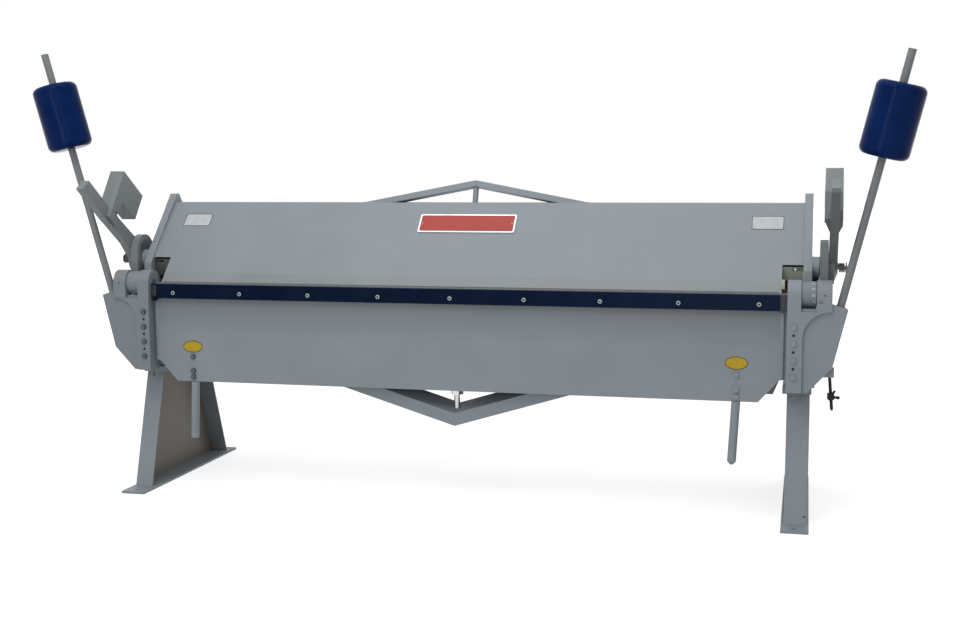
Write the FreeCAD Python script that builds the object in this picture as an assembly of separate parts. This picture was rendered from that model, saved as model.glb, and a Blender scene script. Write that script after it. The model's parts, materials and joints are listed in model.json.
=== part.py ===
"""Hand folder for sheet metal, 8 ft working width, in millimetres.

Origin: floor level, in the middle of the four anchor holes of the two stands.
+X runs along the folding line to the operator's right, +Y away from the operator, +Z up.
"""
import FreeCAD
import Part
import math
import os

V = FreeCAD.Vector

# Folding line: the hinge axis of the swinging apron
hinge_height = 875.7          # bed surface above the floor
hinge_y = -295.2              # folding line, measured from the middle of the anchor holes

# Apron, the leaf that swings
apron_half_length = 1279.3
apron_height = 413.3
apron_thickness = 12.6
apron_drop = 0.5              # top edge below the hinge axis
apron_corner_x = 77.5         # clipped lower corners
apron_corner_z = 87.2

# Folding bar, screwed on the front of the apron
bar_end_inset = 3.8           # short of the apron's end
bar_thickness = 22.4
bar_height = 59.6
bar_drop = 3.0                # top edge below the hinge axis
bar_edge = 1.0
bar_screw_pitch = 300.0
bar_screw_count = 9
bar_screw_shank = 10.0
bar_screw_head = 18.0
bar_screw_head_height = 9.0
bar_screw_head_edge = 2.5
bar_screw_socket = 8.0        # across flats
bar_screw_socket_depth = 4.0
bar_screw_below_top = 36.0    # below the bar's top edge
bar_counterbore_depth = 6.0

# Hinges
end_gap = 24.0                # between the apron's end and the inner hinge lug
lug_width = 50.0
outer_lug_width = 55.5
lug_radius = 53.0
barrel_width = 55.0
barrel_radius = 47.5
barrel_side_gap = 1.5         # to each lug, beyond the running gap
hinge_pin_diameter = 32.0
running_gap = 0.5             # between faces that slide past each other
running_fit = 0.05            # on the radius of a turning pin
push_fit = 0.02               # on the radius of a fixed pin or screw
near = 0.01                   # tolerance when an edge is picked by its place

# Hinge castings, bolted to the apron's ends
casting_depth = 42.0          # front face to hinge plane, at the bolting pad
casting_wing_thickness = 22.0
casting_height = 366.0        # hinge axis to lower edge
lug_shoulder = 61.6           # hinge axis down to the shoulder below the lugs
lug_neck_gap = 1.0            # back of the lugs' neck, ahead of the hinge plane
slot_clearance = 4.0          # below the barrel
wing_reach = 57.9             # beyond the outer lug, at the top
wing_top_drop = 51.8
wing_low_x = 4.9              # beyond the outer lug
wing_low_drop = 271.3
wing_foot_x = 83.6            # short of the outer lug, on the lower edge
pad_width = 56.5
pad_rise = 13.0
flare_radius = 100.0          # of the pad, below the lugs
oil_hole = 6.0
screw_inset = 25.0            # from the inner lug's inner face
screw_first_drop = 119.2
screw_pitch = 62.8
screws_per_casting = 4
dowels_per_casting = 3
dowel_diameter = 10.0
dowel_proud = 1.0
apron_screw_shank = 12.0
apron_screw_across_flats = 19.0
apron_screw_head_height = 8.0
apron_screw_flange = 24.0
apron_screw_flange_height = 2.0
screw_grip = 20.0             # thread length in the piece behind

# End blocks, which carry the apron's ends
end_block_overlap = 64.0      # along the back of the apron
end_block_depth = 25.0
end_block_top_drop = 63.5
end_block_rise = 38.9         # lower edge above the casting's
spacer_front = 30.0           # ahead of the hinge plane
spacer_top_drop = 3.5
spacer_bottom_drop = 71.5
end_strip_gap = 12.0          # between the block's front strip and the inner lug's plane

# Counterweight rods and weights
rod_diameter = 30.0
rod_base_x = 89.4             # rod axis beyond the barrel's outer side, at rod_base_drop
rod_base_drop = 33.0
rod_base_y = -4.4
rod_lean_out_deg = 13.35      # away from the machine
rod_lean_front_deg = 3.9      # towards the operator
rod_length_left = 1147.0
rod_length_right = 1080.3
rod_seat = 133.0              # depth of the rod in its socket, below rod_base_drop
socket_diameter = 46.0
socket_length = 150.0
socket_start = 12.0           # below rod_base_drop, along the rod
weight_diameter = 182.0
weight_length = 271.0
weight_edge = 26.0
weight_left_drop = 266.0      # rod top to the weight's middle
weight_right_drop = 257.0
weight_screw_diameter = 12.0
weight_screw_gap = 0.3        # screw tip to the rod
weight_screw_stand = 6.0      # head above the weight's side
set_screw_diameter = 10.0
set_screw_stand = 6.0
adjuster_x = 25.0             # outside of the inner hinge lug's inner face
adjuster_drop = 36.0          # below the casting's lower edge
adjuster_across_flats = 17.0

# Grab handles under the apron
handle_diameter = 33.5
handle_inset = 156.3          # from the apron's end
handle_shift = 3.5            # both handles sit this far to the operator's left
handle_root = 122.0           # length behind the apron, above its lower edge
handle_shoulder = 1.0         # full section starts below the apron's edge
handle_left_drop = 654.7      # hinge axis to the free end
handle_right_drop = 647.0     # hinge axis to the start of the tapered end
handle_left_offset = 5.0      # the left bar stands this far to the right of its screws
handle_left_lean_deg = 2.4    # both handles lean to the operator's left
handle_right_lean_deg = 3.1
handle_tip = 12.0             # length of the right handle's tapered end
handle_tip_diameter = 12.0
handle_screw_heights = (104.7, 45.4, 19.3)
oval_height_above_edge = 147.8
oval_half_width = 43.5
oval_half_height = 25.5
plate_thickness = 1.0

# Bed
bed_jaw_depth = 72.0
bed_jaw_height = 59.5
bed_plate_thickness = 20.0
bed_depth = 188.0
bed_height = 177.0
bed_skin = 12.0
bed_rear_drop = 412.9         # hinge axis to the rear plate's lower edge
bed_rear_corner_x = 50.7      # clipped lower corners of the rear plate
bed_rear_corner_z = 120.7
bed_truss_face = 51.5
bed_truss_depth = 85.0
bed_truss_rise = 31.0         # the section's back edge above its front edge
bed_truss_apex_drop = 564.7   # hinge axis to the truss's lowest edge
bed_truss_slope_deg = 16.9
bed_truss_setback = 28.0      # behind the hinge plane
jaw_gap = 0.3                 # apron's back to the bed jaw
jack_diameter = 24.0
jack_nut_across_flats = 46.0
jack_nut_height = 20.0
jack_nut_drop = 420.0

# Stands
base_thickness = 10.0
base_width = 102.8
base_length = 913.0
stand_inset = 15.8            # outer face of the leg, inside of the side frame's
leg_sheet = 6.0
leg_flange = 86.0             # of the right leg
leg_flange_left = 78.0
leg_front_y = -348.5          # at the base
leg_top_front_y = -211.0
leg_rear_y = 395.0
leg_top_rear_y = 221.0
cap_thickness = 24.0
cap_front_y = -227.7
cap_rear_y = 266.0
cap_width = 109.0
cap_overhang = 5.5            # beyond the leg's web
anchor_hole = 18.0
levelling_hole = 12.0
anchor_end = 33.5             # from the base plate's end
anchor_inset = 45.5           # inside of the leg's outer face
levelling_inset = 31.1        # inside of the anchor holes
levelling_y = 189.5
frame_bolt_shank = 16.0
frame_bolt_across_flats = 24.0
frame_bolt_head = 10.0
frame_bolt_inset = 37.0       # from the side frame's inner face
frame_bolt_rows_y = (-150.0, 130.0)
frame_bolt_grip = 40.0

# Side frames
side_frame_height = 367.0     # hinge axis to the cap plate
rib_setback = 60.0
web_setback = 28.0            # behind the hinge axis, clear of the end block
web_heel_drop = 129.0
web_foot_setback = 80.0
web_top_drop = 5.0
web_root_back = 43.0          # corners hidden in the barrel
web_root_drop = 38.0
web_top_rear = 293.0          # behind the hinge axis
web_rear = 490.0
web_rear_height = 90.0        # straight rear edge above the cap plate
guide_front = 117.4
guide_rear = 217.0
guide_height = 97.0           # above the side frame
guide_slot_drop = 3.5
guide_slot_height = 11.0
guide_slot_depth = 12.0
guide_slot_inset = 15.0
guide_overhang_gap = 1.0      # to the nose's end and above the bed
pin_recess = 2.0              # hinge pin below the lugs' faces

# Clamping beam
clamp_gap = 0.4               # nose above the bed when the beam is down
beam_setback = 19.0           # hinge axis to the nose tip, along Y
face_lean_deg = 43.5          # of the beam's face, from upright
nose_blade_height = 22.0
nose_holder_height = 17.8
nose_depth = 92.0
nose_land = 26.0              # width that bears on the sheet
heel_relief = 3.0
beam_skin = 12.0
beam_top_height = 328.8       # above the hinge axis
beam_top_depth = 70.0
beam_rear_inset = 10.0        # rear plate ahead of the top plate's edge
shaft_boss_radius = 36.0      # on the cheek, around the shaft
notch_clearance = 22.8        # nose's end to the side frame
notch_height = 100.0          # upper edge of the notches above the hinge axis
cheek_inset = 55.2            # inner face, outside of the side frame's
cheek_thickness = 32.0
cheek_bottom = 20.0           # above the hinge axis
cheek_low_front = 81.0
cheek_knee_front = 85.0       # the front edge drops upright from here, behind the barrel
cheek_knee_height = 80.0
cheek_mid_front = 134.0
cheek_mid_height = 136.5
cheek_top_front = 342.0
cheek_top_rear = 362.0
cheek_top = 367.0
cheek_rear = 510.0
cheek_rear_height = 168.0
beam_truss_face = 25.0
beam_truss_depth = 32.0
beam_truss_apex = 422.8       # outer apex above the hinge axis
beam_truss_reach = 495.0
beam_truss_setback = 370.0
beam_truss_lean_deg = 17.4
beam_post_diameter = 24.0
beam_post_root = 31.0         # cut off level with the top plate
label_width = 124.5
label_length = 70.2
label_start = 314.7           # along the beam's face, from the nose tip
label_outer_gap = 77.5        # to the cheek
label_corner = 6.0
name_half_width = 205.7
name_length = 97.5
name_start = 286.5
name_thickness = 5.0
name_corner = 8.0

# Clamping eccentrics, levers and links
shaft_y = 149.0               # behind the hinge axis
shaft_height = 89.6           # above the hinge axis
shaft_diameter = 30.0
eccentricity = 33.0
disc_radius = 50.0
bush_radius = 41.5
bush_length = 27.0
bush_edge = 2.0
link_thickness = 31.0
link_ring_radius = 73.2
link_pin_drop = 283.0         # below the hinge axis
link_pin_diameter = 32.0
link_pin_play = 11.0          # on the radius of the link's lower eye
link_foot_radius = 46.0
link_straight = 150.0         # ring centre down to where the strap narrows
link_washer_radius = 34.0
link_washer = 6.0
link_gap = 1.0
lever_hub_thickness = 35.0
lever_gap = 0.5               # between the link and the lever
arm_thickness = 32.0
lever_lean_right_deg = 0.35   # both arms lean to the operator's left
lever_lean_left_deg = 0.75
lever_hub_radius = 57.0
lever_hub_face_radius = 22.0  # the hub's outer face ends in a cone
lever_hub_bevel = 13.5
arm_depth = 55.0
arm_tip_depth = 53.3
arm_tip_rise = 6.0            # above the arm's root
arm_reach = 180.4             # past the head's front face
arm_low_straight = 203.5      # from the head's front face, along the arm's lower edge
hub_drop = 28.0               # the hub centre below the arm's middle line
arm_tip_slant = 19.9
hub_taper_top = 12.0          # the arm widens towards the hub
hub_taper_low = 24.0
head_width = 63.6
head_length = 185.0
head_depth = 122.0
head_leg = 54.0
head_foot_rise = 11.0         # above the arm's lower edge
head_tilt_deg = 35.3
head_to_shaft = 321.3         # head's front face to the shaft, along the arm
head_height = 180.0           # head's top above the arm's upper edge
head_offset_right = 4.6       # head's middle inside of the hub's middle
head_offset_left = -1.4
foot_inner_straight = 21.6    # full width of the head's foot, from the front face
foot_outer_straight = 48.0
foot_taper_end = 95.0
spring_wire = 4.5
spring_outer = 38.0
spring_turns = 4
spring_pitch = 5.9
spring_seat = 0.3
stud_diameter = 15.0
stud_stand = 2.0              # past the nut
nut_across_flats = 36.0
nut_thickness = 5.0

# Angle stop on the right hinge casting
stop_inset = 2.8              # rod inside of the outer lug's end, at the bracket
stop_rod_diameter = 12.0
stop_rod_lean_deg = 4.8
stop_rod_drop = 430.0
stop_rod_seat = 12.0          # in the bracket
stop_bracket_top_drop = 272.0
stop_bracket_bottom_drop = 308.9
stop_bracket_depth = 18.0
stop_bracket_inner = 27.6     # inside of the rod
stop_bracket_outer = 15.7     # outside of the rod
stop_collar_radius = 13.0
stop_collar_length = 24.0
stop_collar_drop = 368.0
stop_hub_radius = 14.0
stop_hub_thickness = 14.0
stop_arm_length = 26.0
stop_arm_diameter = 10.0
stop_arm_sag = 2.0            # free end below the hub
stop_knob_radius = 6.5
stop_spur_radius = 4.5        # short spur that points up and outwards
stop_spur_x = 14.0
stop_spur_z = 24.0
stop_tail_length = 52.0       # tapered handle that points down
stop_tail_side = 5.0
stop_tail_root_radius = 7.0
stop_tail_tip_radius = 3.0


# Helpers

def box(x0, x1, y0, y1, z0, z1):
    return Part.makeBox(x1 - x0, y1 - y0, z1 - z0, V(x0, y0, z0))


def closed_face(points):
    return Part.Face(Part.makePolygon(points + [points[0]]))


def plate_across(outline_yz, x0, x1):
    """A profile in the YZ plane, extruded along X."""
    return closed_face([V(x0, y, z) for y, z in outline_yz]).extrude(V(x1 - x0, 0, 0))


def plate_facing(outline_xz, y0, y1):
    """A profile in the XZ plane, extruded along Y."""
    return closed_face([V(x, y0, z) for x, z in outline_xz]).extrude(V(0, y1 - y0, 0))


def round_bar(radius, start, end):
    line = end - start
    return Part.makeCylinder(radius, line.Length, start, line)


def bar_x(radius, x0, x1, y, z):
    return round_bar(radius, V(x0, y, z), V(x1, y, z))


def bar_y(radius, x, y0, y1, z):
    return round_bar(radius, V(x, y0, z), V(x, y1, z))


def bar_z(radius, x, y, z0, z1):
    return round_bar(radius, V(x, y, z0), V(x, y, z1))


def prism(sides, across_flats, start, end):
    """Bar with a regular section, such as a hexagon, between two points."""
    line = end - start
    corner = across_flats / 2 / math.cos(math.pi / sides)
    turn = FreeCAD.Rotation(V(0, 0, 1), line)
    points = []
    for side in range(sides):
        angle = 2 * math.pi * side / sides
        points.append(start + turn.multVec(V(corner * math.cos(angle), corner * math.sin(angle), 0)))
    return closed_face(points).extrude(line)


def at_hinge(back, up):
    """A YZ point given from the hinge axis."""
    return (hinge_y + back, hinge_height + up)


def mirrored(shape):
    return shape.mirror(V(0, 0, 0), V(1, 0, 0))


def soften(shape, radius, pick):
    """Round the edges that pick accepts."""
    edges = [edge for edge in shape.Edges if pick(edge)]
    return shape.makeFillet(radius, edges)


def save(name, *solids):
    shape = solids[0] if len(solids) == 1 else Part.makeCompound(list(solids))
    shape.exportStep("parts/" + name + ".step")


os.makedirs("parts", exist_ok=True)

# Places along X, from the middle outwards, right-hand side
lug_inner_x = apron_half_length + end_gap
lug_outer_x = lug_inner_x + lug_width
frame_inner_x = lug_inner_x - running_gap
barrel_inner_x = lug_outer_x + running_gap
barrel_outer_x = barrel_inner_x + barrel_width
outer_lug_x = barrel_outer_x + running_gap
outer_lug_end = outer_lug_x + outer_lug_width
stand_outer_x = barrel_outer_x - stand_inset
anchor_x = stand_outer_x - anchor_inset
notch_inner_x = frame_inner_x - notch_clearance
cheek_inner_x = frame_inner_x + cheek_inset
cheek_outer_x = cheek_inner_x + cheek_thickness
bush_end_x = cheek_outer_x + bush_length
link_x = bush_end_x + link_gap
link_end_x = link_x + link_thickness
lever_x = link_end_x + lever_gap
lever_end_x = lever_x + lever_hub_thickness

# Levels
apron_top = hinge_height - apron_drop
apron_bottom = apron_top - apron_height
casting_bottom = hinge_height - casting_height
bed_bottom = hinge_height - bed_height
cap_top_height = hinge_height - side_frame_height
cap_bottom_height = cap_top_height - cap_thickness
frame_top = hinge_height - web_top_drop
slot_drop = barrel_radius + slot_clearance
screw_x = lug_inner_x + screw_inset


# Swinging apron

def flanged_screw(x, y_face, z):
    """Hexagon screw with a flange, driven from the front into a threaded hole."""
    flange_front = y_face - apron_screw_flange_height
    head = prism(6, apron_screw_across_flats, V(x, flange_front - apron_screw_head_height, z),
                   V(x, flange_front, z))
    flange = bar_y(apron_screw_flange / 2, x, flange_front, y_face, z)
    return head.fuse(flange)


def apron_screw(x, y_face, z, y_end):
    shank = bar_y(apron_screw_shank / 2, x, y_face, y_end, z)
    return flanged_screw(x, y_face, z).fuse(shank).removeSplitter()


def screw_hole(x, y0, y1, z):
    return bar_y(apron_screw_shank / 2 + push_fit, x, y0, y1, z)


apron_front_y = hinge_y - apron_thickness
bar_front_y = apron_front_y - bar_thickness
bar_half_length = apron_half_length - bar_end_inset
handle_x = apron_half_length - handle_inset
handle_places = {side: side * handle_x - handle_shift for side in (-1, 1)}
bar_screw_z = hinge_height - bar_drop - bar_screw_below_top
bar_screw_xs = [(i - (bar_screw_count - 1) / 2) * bar_screw_pitch for i in range(bar_screw_count)]
handle_screw_zs = [apron_bottom + height for height in handle_screw_heights]


def make_apron_plate():
    half = apron_half_length
    low = half - apron_corner_x
    outline = [(-half, apron_top), (half, apron_top), (half, apron_bottom + apron_corner_z),
               (low, apron_bottom), (-low, apron_bottom), (-half, apron_bottom + apron_corner_z)]
    plate = plate_facing(outline, apron_front_y, hinge_y)
    holes = [bar_y(bar_screw_shank / 2 + push_fit, x, apron_front_y, hinge_y, bar_screw_z)
             for x in bar_screw_xs]
    holes += [screw_hole(handle_places[side], apron_front_y, hinge_y, z)
              for side in (-1, 1) for z in handle_screw_zs]
    return plate.cut(Part.makeCompound(holes))


def make_folding_bar():
    top = hinge_height - bar_drop
    bar = box(-bar_half_length, bar_half_length, bar_front_y, apron_front_y, top - bar_height, top)
    bar = soften(bar, bar_edge, lambda edge: edge.Length > bar_half_length)
    tools = []
    for x in bar_screw_xs:
        tools.append(bar_y(bar_screw_shank / 2 + push_fit, x, bar_front_y, apron_front_y, bar_screw_z))
        tools.append(bar_y(bar_screw_head / 2 + running_gap, x, bar_front_y,
                           bar_front_y + bar_counterbore_depth, bar_screw_z))
    return bar.cut(Part.makeCompound(tools))


def make_bar_screw(x):
    seat = bar_front_y + bar_counterbore_depth
    front = seat - bar_screw_head_height
    head = bar_y(bar_screw_head / 2, x, front, seat, bar_screw_z)
    head = soften(head, bar_screw_head_edge, lambda edge: abs(edge.BoundBox.YMax - front) < near)
    socket = prism(6, bar_screw_socket, V(x, front, bar_screw_z),
                     V(x, front + bar_screw_socket_depth, bar_screw_z))
    shank = bar_y(bar_screw_shank / 2, x, seat, hinge_y, bar_screw_z)
    return head.cut(socket).fuse(shank).removeSplitter()


casting_front_y = hinge_y - casting_depth
pad_front_y = casting_front_y - pad_rise
casting_screw_zs = [hinge_height - screw_first_drop - screw_pitch * i
                    for i in range(screws_per_casting)]
dowel_zs = [(casting_screw_zs[i] + casting_screw_zs[i + 1]) / 2 for i in range(dowels_per_casting)]
end_block_top = hinge_height - end_block_top_drop
end_block_bottom = casting_bottom + end_block_rise
block_back_y = hinge_y + end_block_depth

rod_direction = V(math.tan(math.radians(rod_lean_out_deg)),
                  -math.tan(math.radians(rod_lean_front_deg)), 1).normalize()
screw_way = V(0, rod_direction.z, -rod_direction.y)     # square to the rods, to the rear
screw_way.normalize()
rod_anchor = V(barrel_outer_x + rod_base_x, hinge_y + rod_base_y, hinge_height - rod_base_drop)
rod_foot = rod_anchor - rod_direction * rod_seat
rod_screw_place = rod_anchor - rod_direction * (rod_seat / 2)
adjuster_axis = V(lug_inner_x + adjuster_x, hinge_y + end_block_depth / 2, casting_bottom)


def make_pad(pad_x, shoulder_z):
    """Raised face of the casting: a strip that flares in a quarter round below the lugs."""
    arc_low = V(pad_x, pad_front_y, shoulder_z - flare_radius)
    arc_high = V(pad_x + flare_radius, pad_front_y, shoulder_z)
    quarter = flare_radius * math.sqrt(0.5)
    arc_mid = V(arc_high.x - quarter, pad_front_y, arc_low.z + quarter)
    corners = [arc_high, V(lug_inner_x, pad_front_y, shoulder_z),
               V(lug_inner_x, pad_front_y, casting_bottom),
               V(pad_x, pad_front_y, casting_bottom), arc_low]
    edges = [Part.LineSegment(corners[i], corners[i + 1]).toShape() for i in range(4)]
    edges.append(Part.Arc(arc_low, arc_mid, arc_high).toShape())
    return Part.Face(Part.Wire(edges)).extrude(V(0, pad_rise + casting_wing_thickness, 0))


def make_hinge_casting():
    """Right-hand casting: wing plate, two lugs, bolting pad and rod socket."""
    top_z = hinge_height - slot_drop
    outline = [(lug_inner_x, casting_bottom),
               (outer_lug_end - wing_foot_x, casting_bottom),
               (outer_lug_end + wing_low_x, hinge_height - wing_low_drop),
               (outer_lug_end + wing_reach, hinge_height - wing_top_drop),
               (outer_lug_end, hinge_height - rod_base_drop),
               (outer_lug_end, top_z), (lug_inner_x, top_z)]
    wing_back_y = casting_front_y + casting_wing_thickness
    plate = plate_facing(outline, casting_front_y, wing_back_y)
    pad_x = lug_inner_x + pad_width
    shoulder_z = hinge_height - lug_shoulder
    block = box(lug_inner_x, pad_x, casting_front_y, hinge_y, casting_bottom, top_z)
    lip = box(lug_inner_x, pad_x, hinge_y, block_back_y, casting_bottom,
              end_block_bottom - running_gap)
    pieces = [make_pad(pad_x, shoulder_z), block, lip]
    for x0, x1 in ((lug_inner_x, lug_outer_x), (outer_lug_x, outer_lug_end)):
        pieces.append(bar_x(lug_radius, x0, x1, hinge_y, hinge_height))
        pieces.append(box(x0, x1, hinge_y - lug_radius, hinge_y - lug_neck_gap, shoulder_z,
                          hinge_height))
    socket_top = rod_anchor - rod_direction * socket_start
    socket_foot = socket_top - rod_direction * socket_length
    pieces.append(round_bar(socket_diameter / 2, socket_foot, socket_top))
    half = rod_diameter / 2
    web = [(socket_top.x - half, socket_top.z - half), (socket_top.x + half, socket_top.z - half),
           (socket_foot.x + half, socket_foot.z), (socket_foot.x - half, socket_foot.z)]
    pieces.append(plate_facing(web, wing_back_y, hinge_y))
    casting = plate.multiFuse(pieces).removeSplitter()
    tools = [bar_x(hinge_pin_diameter / 2 + running_fit, lug_inner_x, outer_lug_end,
                   hinge_y, hinge_height),
             box(lug_outer_x, outer_lug_x, pad_front_y, hinge_y + lug_radius,
                 top_z, hinge_height + lug_radius),
             round_bar(rod_diameter / 2 + push_fit, rod_foot, rod_anchor)]
    tools += [screw_hole(screw_x, pad_front_y, hinge_y, z) for z in casting_screw_zs]
    tools += [bar_y(dowel_diameter / 2 + push_fit, screw_x, pad_front_y, hinge_y, z)
              for z in dowel_zs]
    tools.append(bar_y(oil_hole / 2, (outer_lug_x + outer_lug_end) / 2, hinge_y - lug_radius,
                       hinge_y - hinge_pin_diameter / 2, hinge_height))
    tools.append(round_bar(set_screw_diameter / 2 + push_fit, rod_screw_place,
                           rod_screw_place + screw_way * socket_diameter))
    tools.append(round_bar(set_screw_diameter / 2 + push_fit, adjuster_axis,
                           adjuster_axis + V(0, 0, end_block_bottom - casting_bottom)))
    return casting.cut(Part.makeCompound(tools))


def make_end_block():
    inner_x = apron_half_length - end_block_overlap
    outer_x = lug_inner_x + pad_width
    block = box(inner_x, outer_x, hinge_y, block_back_y, end_block_bottom, end_block_top)
    spacer = box(apron_half_length, lug_inner_x, hinge_y - spacer_front, hinge_y,
                 hinge_height - spacer_bottom_drop, hinge_height - spacer_top_drop)
    strip = box(apron_half_length, lug_inner_x - end_strip_gap, apron_front_y, hinge_y,
                end_block_bottom, hinge_height - spacer_bottom_drop)
    block = block.multiFuse([spacer, strip]).removeSplitter()
    tools = [screw_hole(screw_x, hinge_y, hinge_y + screw_grip, z) for z in casting_screw_zs]
    tools += [bar_y(dowel_diameter / 2 + push_fit, screw_x, hinge_y, hinge_y + screw_grip, z)
              for z in dowel_zs]
    return block.cut(Part.makeCompound(tools))


handle_y = hinge_y - apron_thickness / 2
handle_back_y = handle_y + handle_diameter / 2


def handle_point(side, z):
    """Point of a grab handle's axis, which leans and lies in the middle of the apron plate."""
    lean_deg = handle_right_lean_deg if side > 0 else handle_left_lean_deg
    offset = 0 if side > 0 else handle_left_offset
    sideways = math.tan(math.radians(lean_deg)) * (apron_bottom - z) - offset
    return V(handle_places[side] - sideways, handle_y, z)


def make_handle(side):
    """Round bar; its front is milled away where it lies behind the apron."""
    drop = handle_right_drop if side > 0 else handle_left_drop
    top = handle_point(side, apron_bottom + handle_root)
    end = handle_point(side, hinge_height - drop)
    handle = round_bar(handle_diameter / 2, top, end)
    if side > 0:
        tip = Part.makeCone(handle_diameter / 2, handle_tip_diameter / 2, handle_tip, end, end - top)
        handle = handle.fuse(tip).removeSplitter()
    recess = box(top.x - handle_diameter, top.x + handle_diameter, handle_y - handle_diameter, hinge_y,
                 apron_bottom - handle_shoulder, top.z + handle_diameter)
    holes = [screw_hole(handle_places[side], hinge_y, handle_back_y, z) for z in handle_screw_zs]
    return handle.cut(Part.makeCompound([recess] + holes))


def make_oval(side):
    centre = V(handle_places[side], apron_front_y, apron_bottom + oval_height_above_edge)
    rim = Part.Ellipse(centre + V(oval_half_width, 0, 0), centre + V(0, 0, oval_half_height), centre)
    face = Part.Face(Part.Wire(rim.toShape()))
    return face.extrude(V(0, -plate_thickness, 0))


casting_right = make_hinge_casting()
end_block = make_end_block()
casting_screws = [apron_screw(screw_x, pad_front_y, z, hinge_y + screw_grip)
                  for z in casting_screw_zs]
handle_screws = [apron_screw(handle_places[side], apron_front_y, z, handle_back_y)
                 for side in (-1, 1) for z in handle_screw_zs]
dowels = [bar_y(dowel_diameter / 2, screw_x, pad_front_y - dowel_proud, hinge_y + screw_grip, z)
          for z in dowel_zs]

save("apron_plate", make_apron_plate())
save("folding_bar", make_folding_bar())
save("bar_screws", *[make_bar_screw(x) for x in bar_screw_xs])
save("hinge_casting_right", casting_right)
save("hinge_casting_left", mirrored(casting_right))
save("end_blocks", end_block, mirrored(end_block))
save("casting_dowels", *(dowels + [mirrored(dowel) for dowel in dowels]))
save("apron_screws", *(casting_screws + [mirrored(screw) for screw in casting_screws] + handle_screws))
save("grab_handles", make_handle(-1), make_handle(1))
save("oval_plates", make_oval(-1), make_oval(1))


# Counterweight rods, their weights and clamping screws

def rod_point(side, along):
    point = rod_anchor + rod_direction * along
    return V(side * point.x, point.y, point.z)


def make_rod(side, length):
    return round_bar(rod_diameter / 2, rod_point(side, -rod_seat), rod_point(side, length - rod_seat))


def make_weight(side, middle):
    """Bored cylinder with rounded edges and a tapped hole in its back."""
    low = rod_point(side, middle - weight_length / 2)
    high = rod_point(side, middle + weight_length / 2)
    weight = round_bar(weight_diameter / 2, low, high)
    weight = soften(weight, weight_edge, lambda edge: edge.Closed)
    centre = rod_point(side, middle)
    back = centre + screw_way * weight_diameter
    bore = round_bar(rod_diameter / 2 + running_fit, low, high)
    tapped = round_bar(weight_screw_diameter / 2 + push_fit, centre, back)
    return weight.cut(bore).cut(tapped)


def make_weight_screw(side, middle):
    """Square-headed screw that clamps a weight on its rod."""
    centre = rod_point(side, middle)
    start = centre + screw_way * (rod_diameter / 2 + weight_screw_gap)
    end = centre + screw_way * (weight_diameter / 2 + weight_screw_stand)
    shank = round_bar(weight_screw_diameter / 2, start, end)
    head = prism(4, weight_screw_diameter, end, end + screw_way * weight_screw_diameter)
    return shank.fuse(head).removeSplitter()


def make_rod_screw():
    """Set screw in the socket's back."""
    start = rod_screw_place + screw_way * (rod_diameter / 2 + weight_screw_gap)
    end = rod_screw_place + screw_way * (socket_diameter / 2 + set_screw_stand)
    return round_bar(set_screw_diameter / 2, start, end)


def make_adjuster():
    """Hexagon screw under the casting that lifts the apron's end block."""
    low = adjuster_axis - V(0, 0, adjuster_drop)
    head = prism(6, adjuster_across_flats, low, low + V(0, 0, set_screw_diameter))
    tip = V(adjuster_axis.x, adjuster_axis.y, end_block_bottom - push_fit)
    return head.fuse(round_bar(set_screw_diameter / 2, low, tip)).removeSplitter()


rod_lengths = {"left": rod_length_left, "right": rod_length_right}
weight_drops = {"left": weight_left_drop, "right": weight_right_drop}
sides = {"left": -1, "right": 1}
save("counterweight_rods", *[make_rod(sides[name], rod_lengths[name]) for name in sides])
for name in sides:
    weight_middle = rod_lengths[name] - rod_seat - weight_drops[name]
    save("counterweight_" + name, make_weight(sides[name], weight_middle))
    save("weight_screw_" + name, make_weight_screw(sides[name], weight_middle))
save("set_screws", make_rod_screw(), mirrored(make_rod_screw()),
     make_adjuster(), mirrored(make_adjuster()))


# Bed: a box of plates between the side frames, with a steel jaw at the folding line

bed_front_y = hinge_y + bed_jaw_depth - bed_plate_thickness
bed_back_y = hinge_y + bed_depth
jaw_back_y = hinge_y + bed_jaw_depth
jaw_bottom = hinge_height - bed_jaw_height
bed_half = frame_inner_x


bed_truss_low = hinge_height - bed_truss_apex_drop


def make_bed_rear_plate():
    """Deep plate at the back of the bed, with clipped lower corners."""
    top = hinge_height - bed_skin
    low = hinge_height - bed_rear_drop
    low_x = bed_half - bed_rear_corner_x
    corner_z = low + bed_rear_corner_z
    outline = [(-bed_half, top), (bed_half, top), (bed_half, corner_z), (low_x, low),
               (-low_x, low), (-bed_half, corner_z)]
    return plate_facing(outline, bed_back_y - bed_skin, bed_back_y)


def make_bed_truss_bar():
    """Right-hand strut, from the middle of the truss up to the underside of the bed."""
    slope = math.tan(math.radians(bed_truss_slope_deg))
    front = hinge_y + bed_truss_setback
    low = bed_truss_low
    section = [V(0, front, low), V(0, front, low + bed_truss_face),
               V(0, front + bed_truss_depth, low + bed_truss_face + bed_truss_rise),
               V(0, front + bed_truss_depth, low + bed_truss_rise)]
    bar = closed_face(section).extrude(V(bed_half, 0, bed_half * slope))
    head_room = box(0, bed_half, front, front + bed_truss_depth, bed_bottom, hinge_height)
    return bar.cut(head_room)


def make_jack():
    """Threaded post with a hexagon collar, between the truss and the bed."""
    y = hinge_y + bed_truss_setback + bed_truss_depth / 2
    foot = bed_truss_low + bed_truss_face + bed_truss_rise / 2
    post = bar_z(jack_diameter / 2, 0, y, foot, bed_bottom)
    nut_low = hinge_height - jack_nut_drop - jack_nut_height
    nut = prism(6, jack_nut_across_flats, V(0, y, nut_low), V(0, y, nut_low + jack_nut_height))
    truss = make_bed_truss_bar()
    return post.fuse(nut).cut(truss).cut(mirrored(truss))


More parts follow.
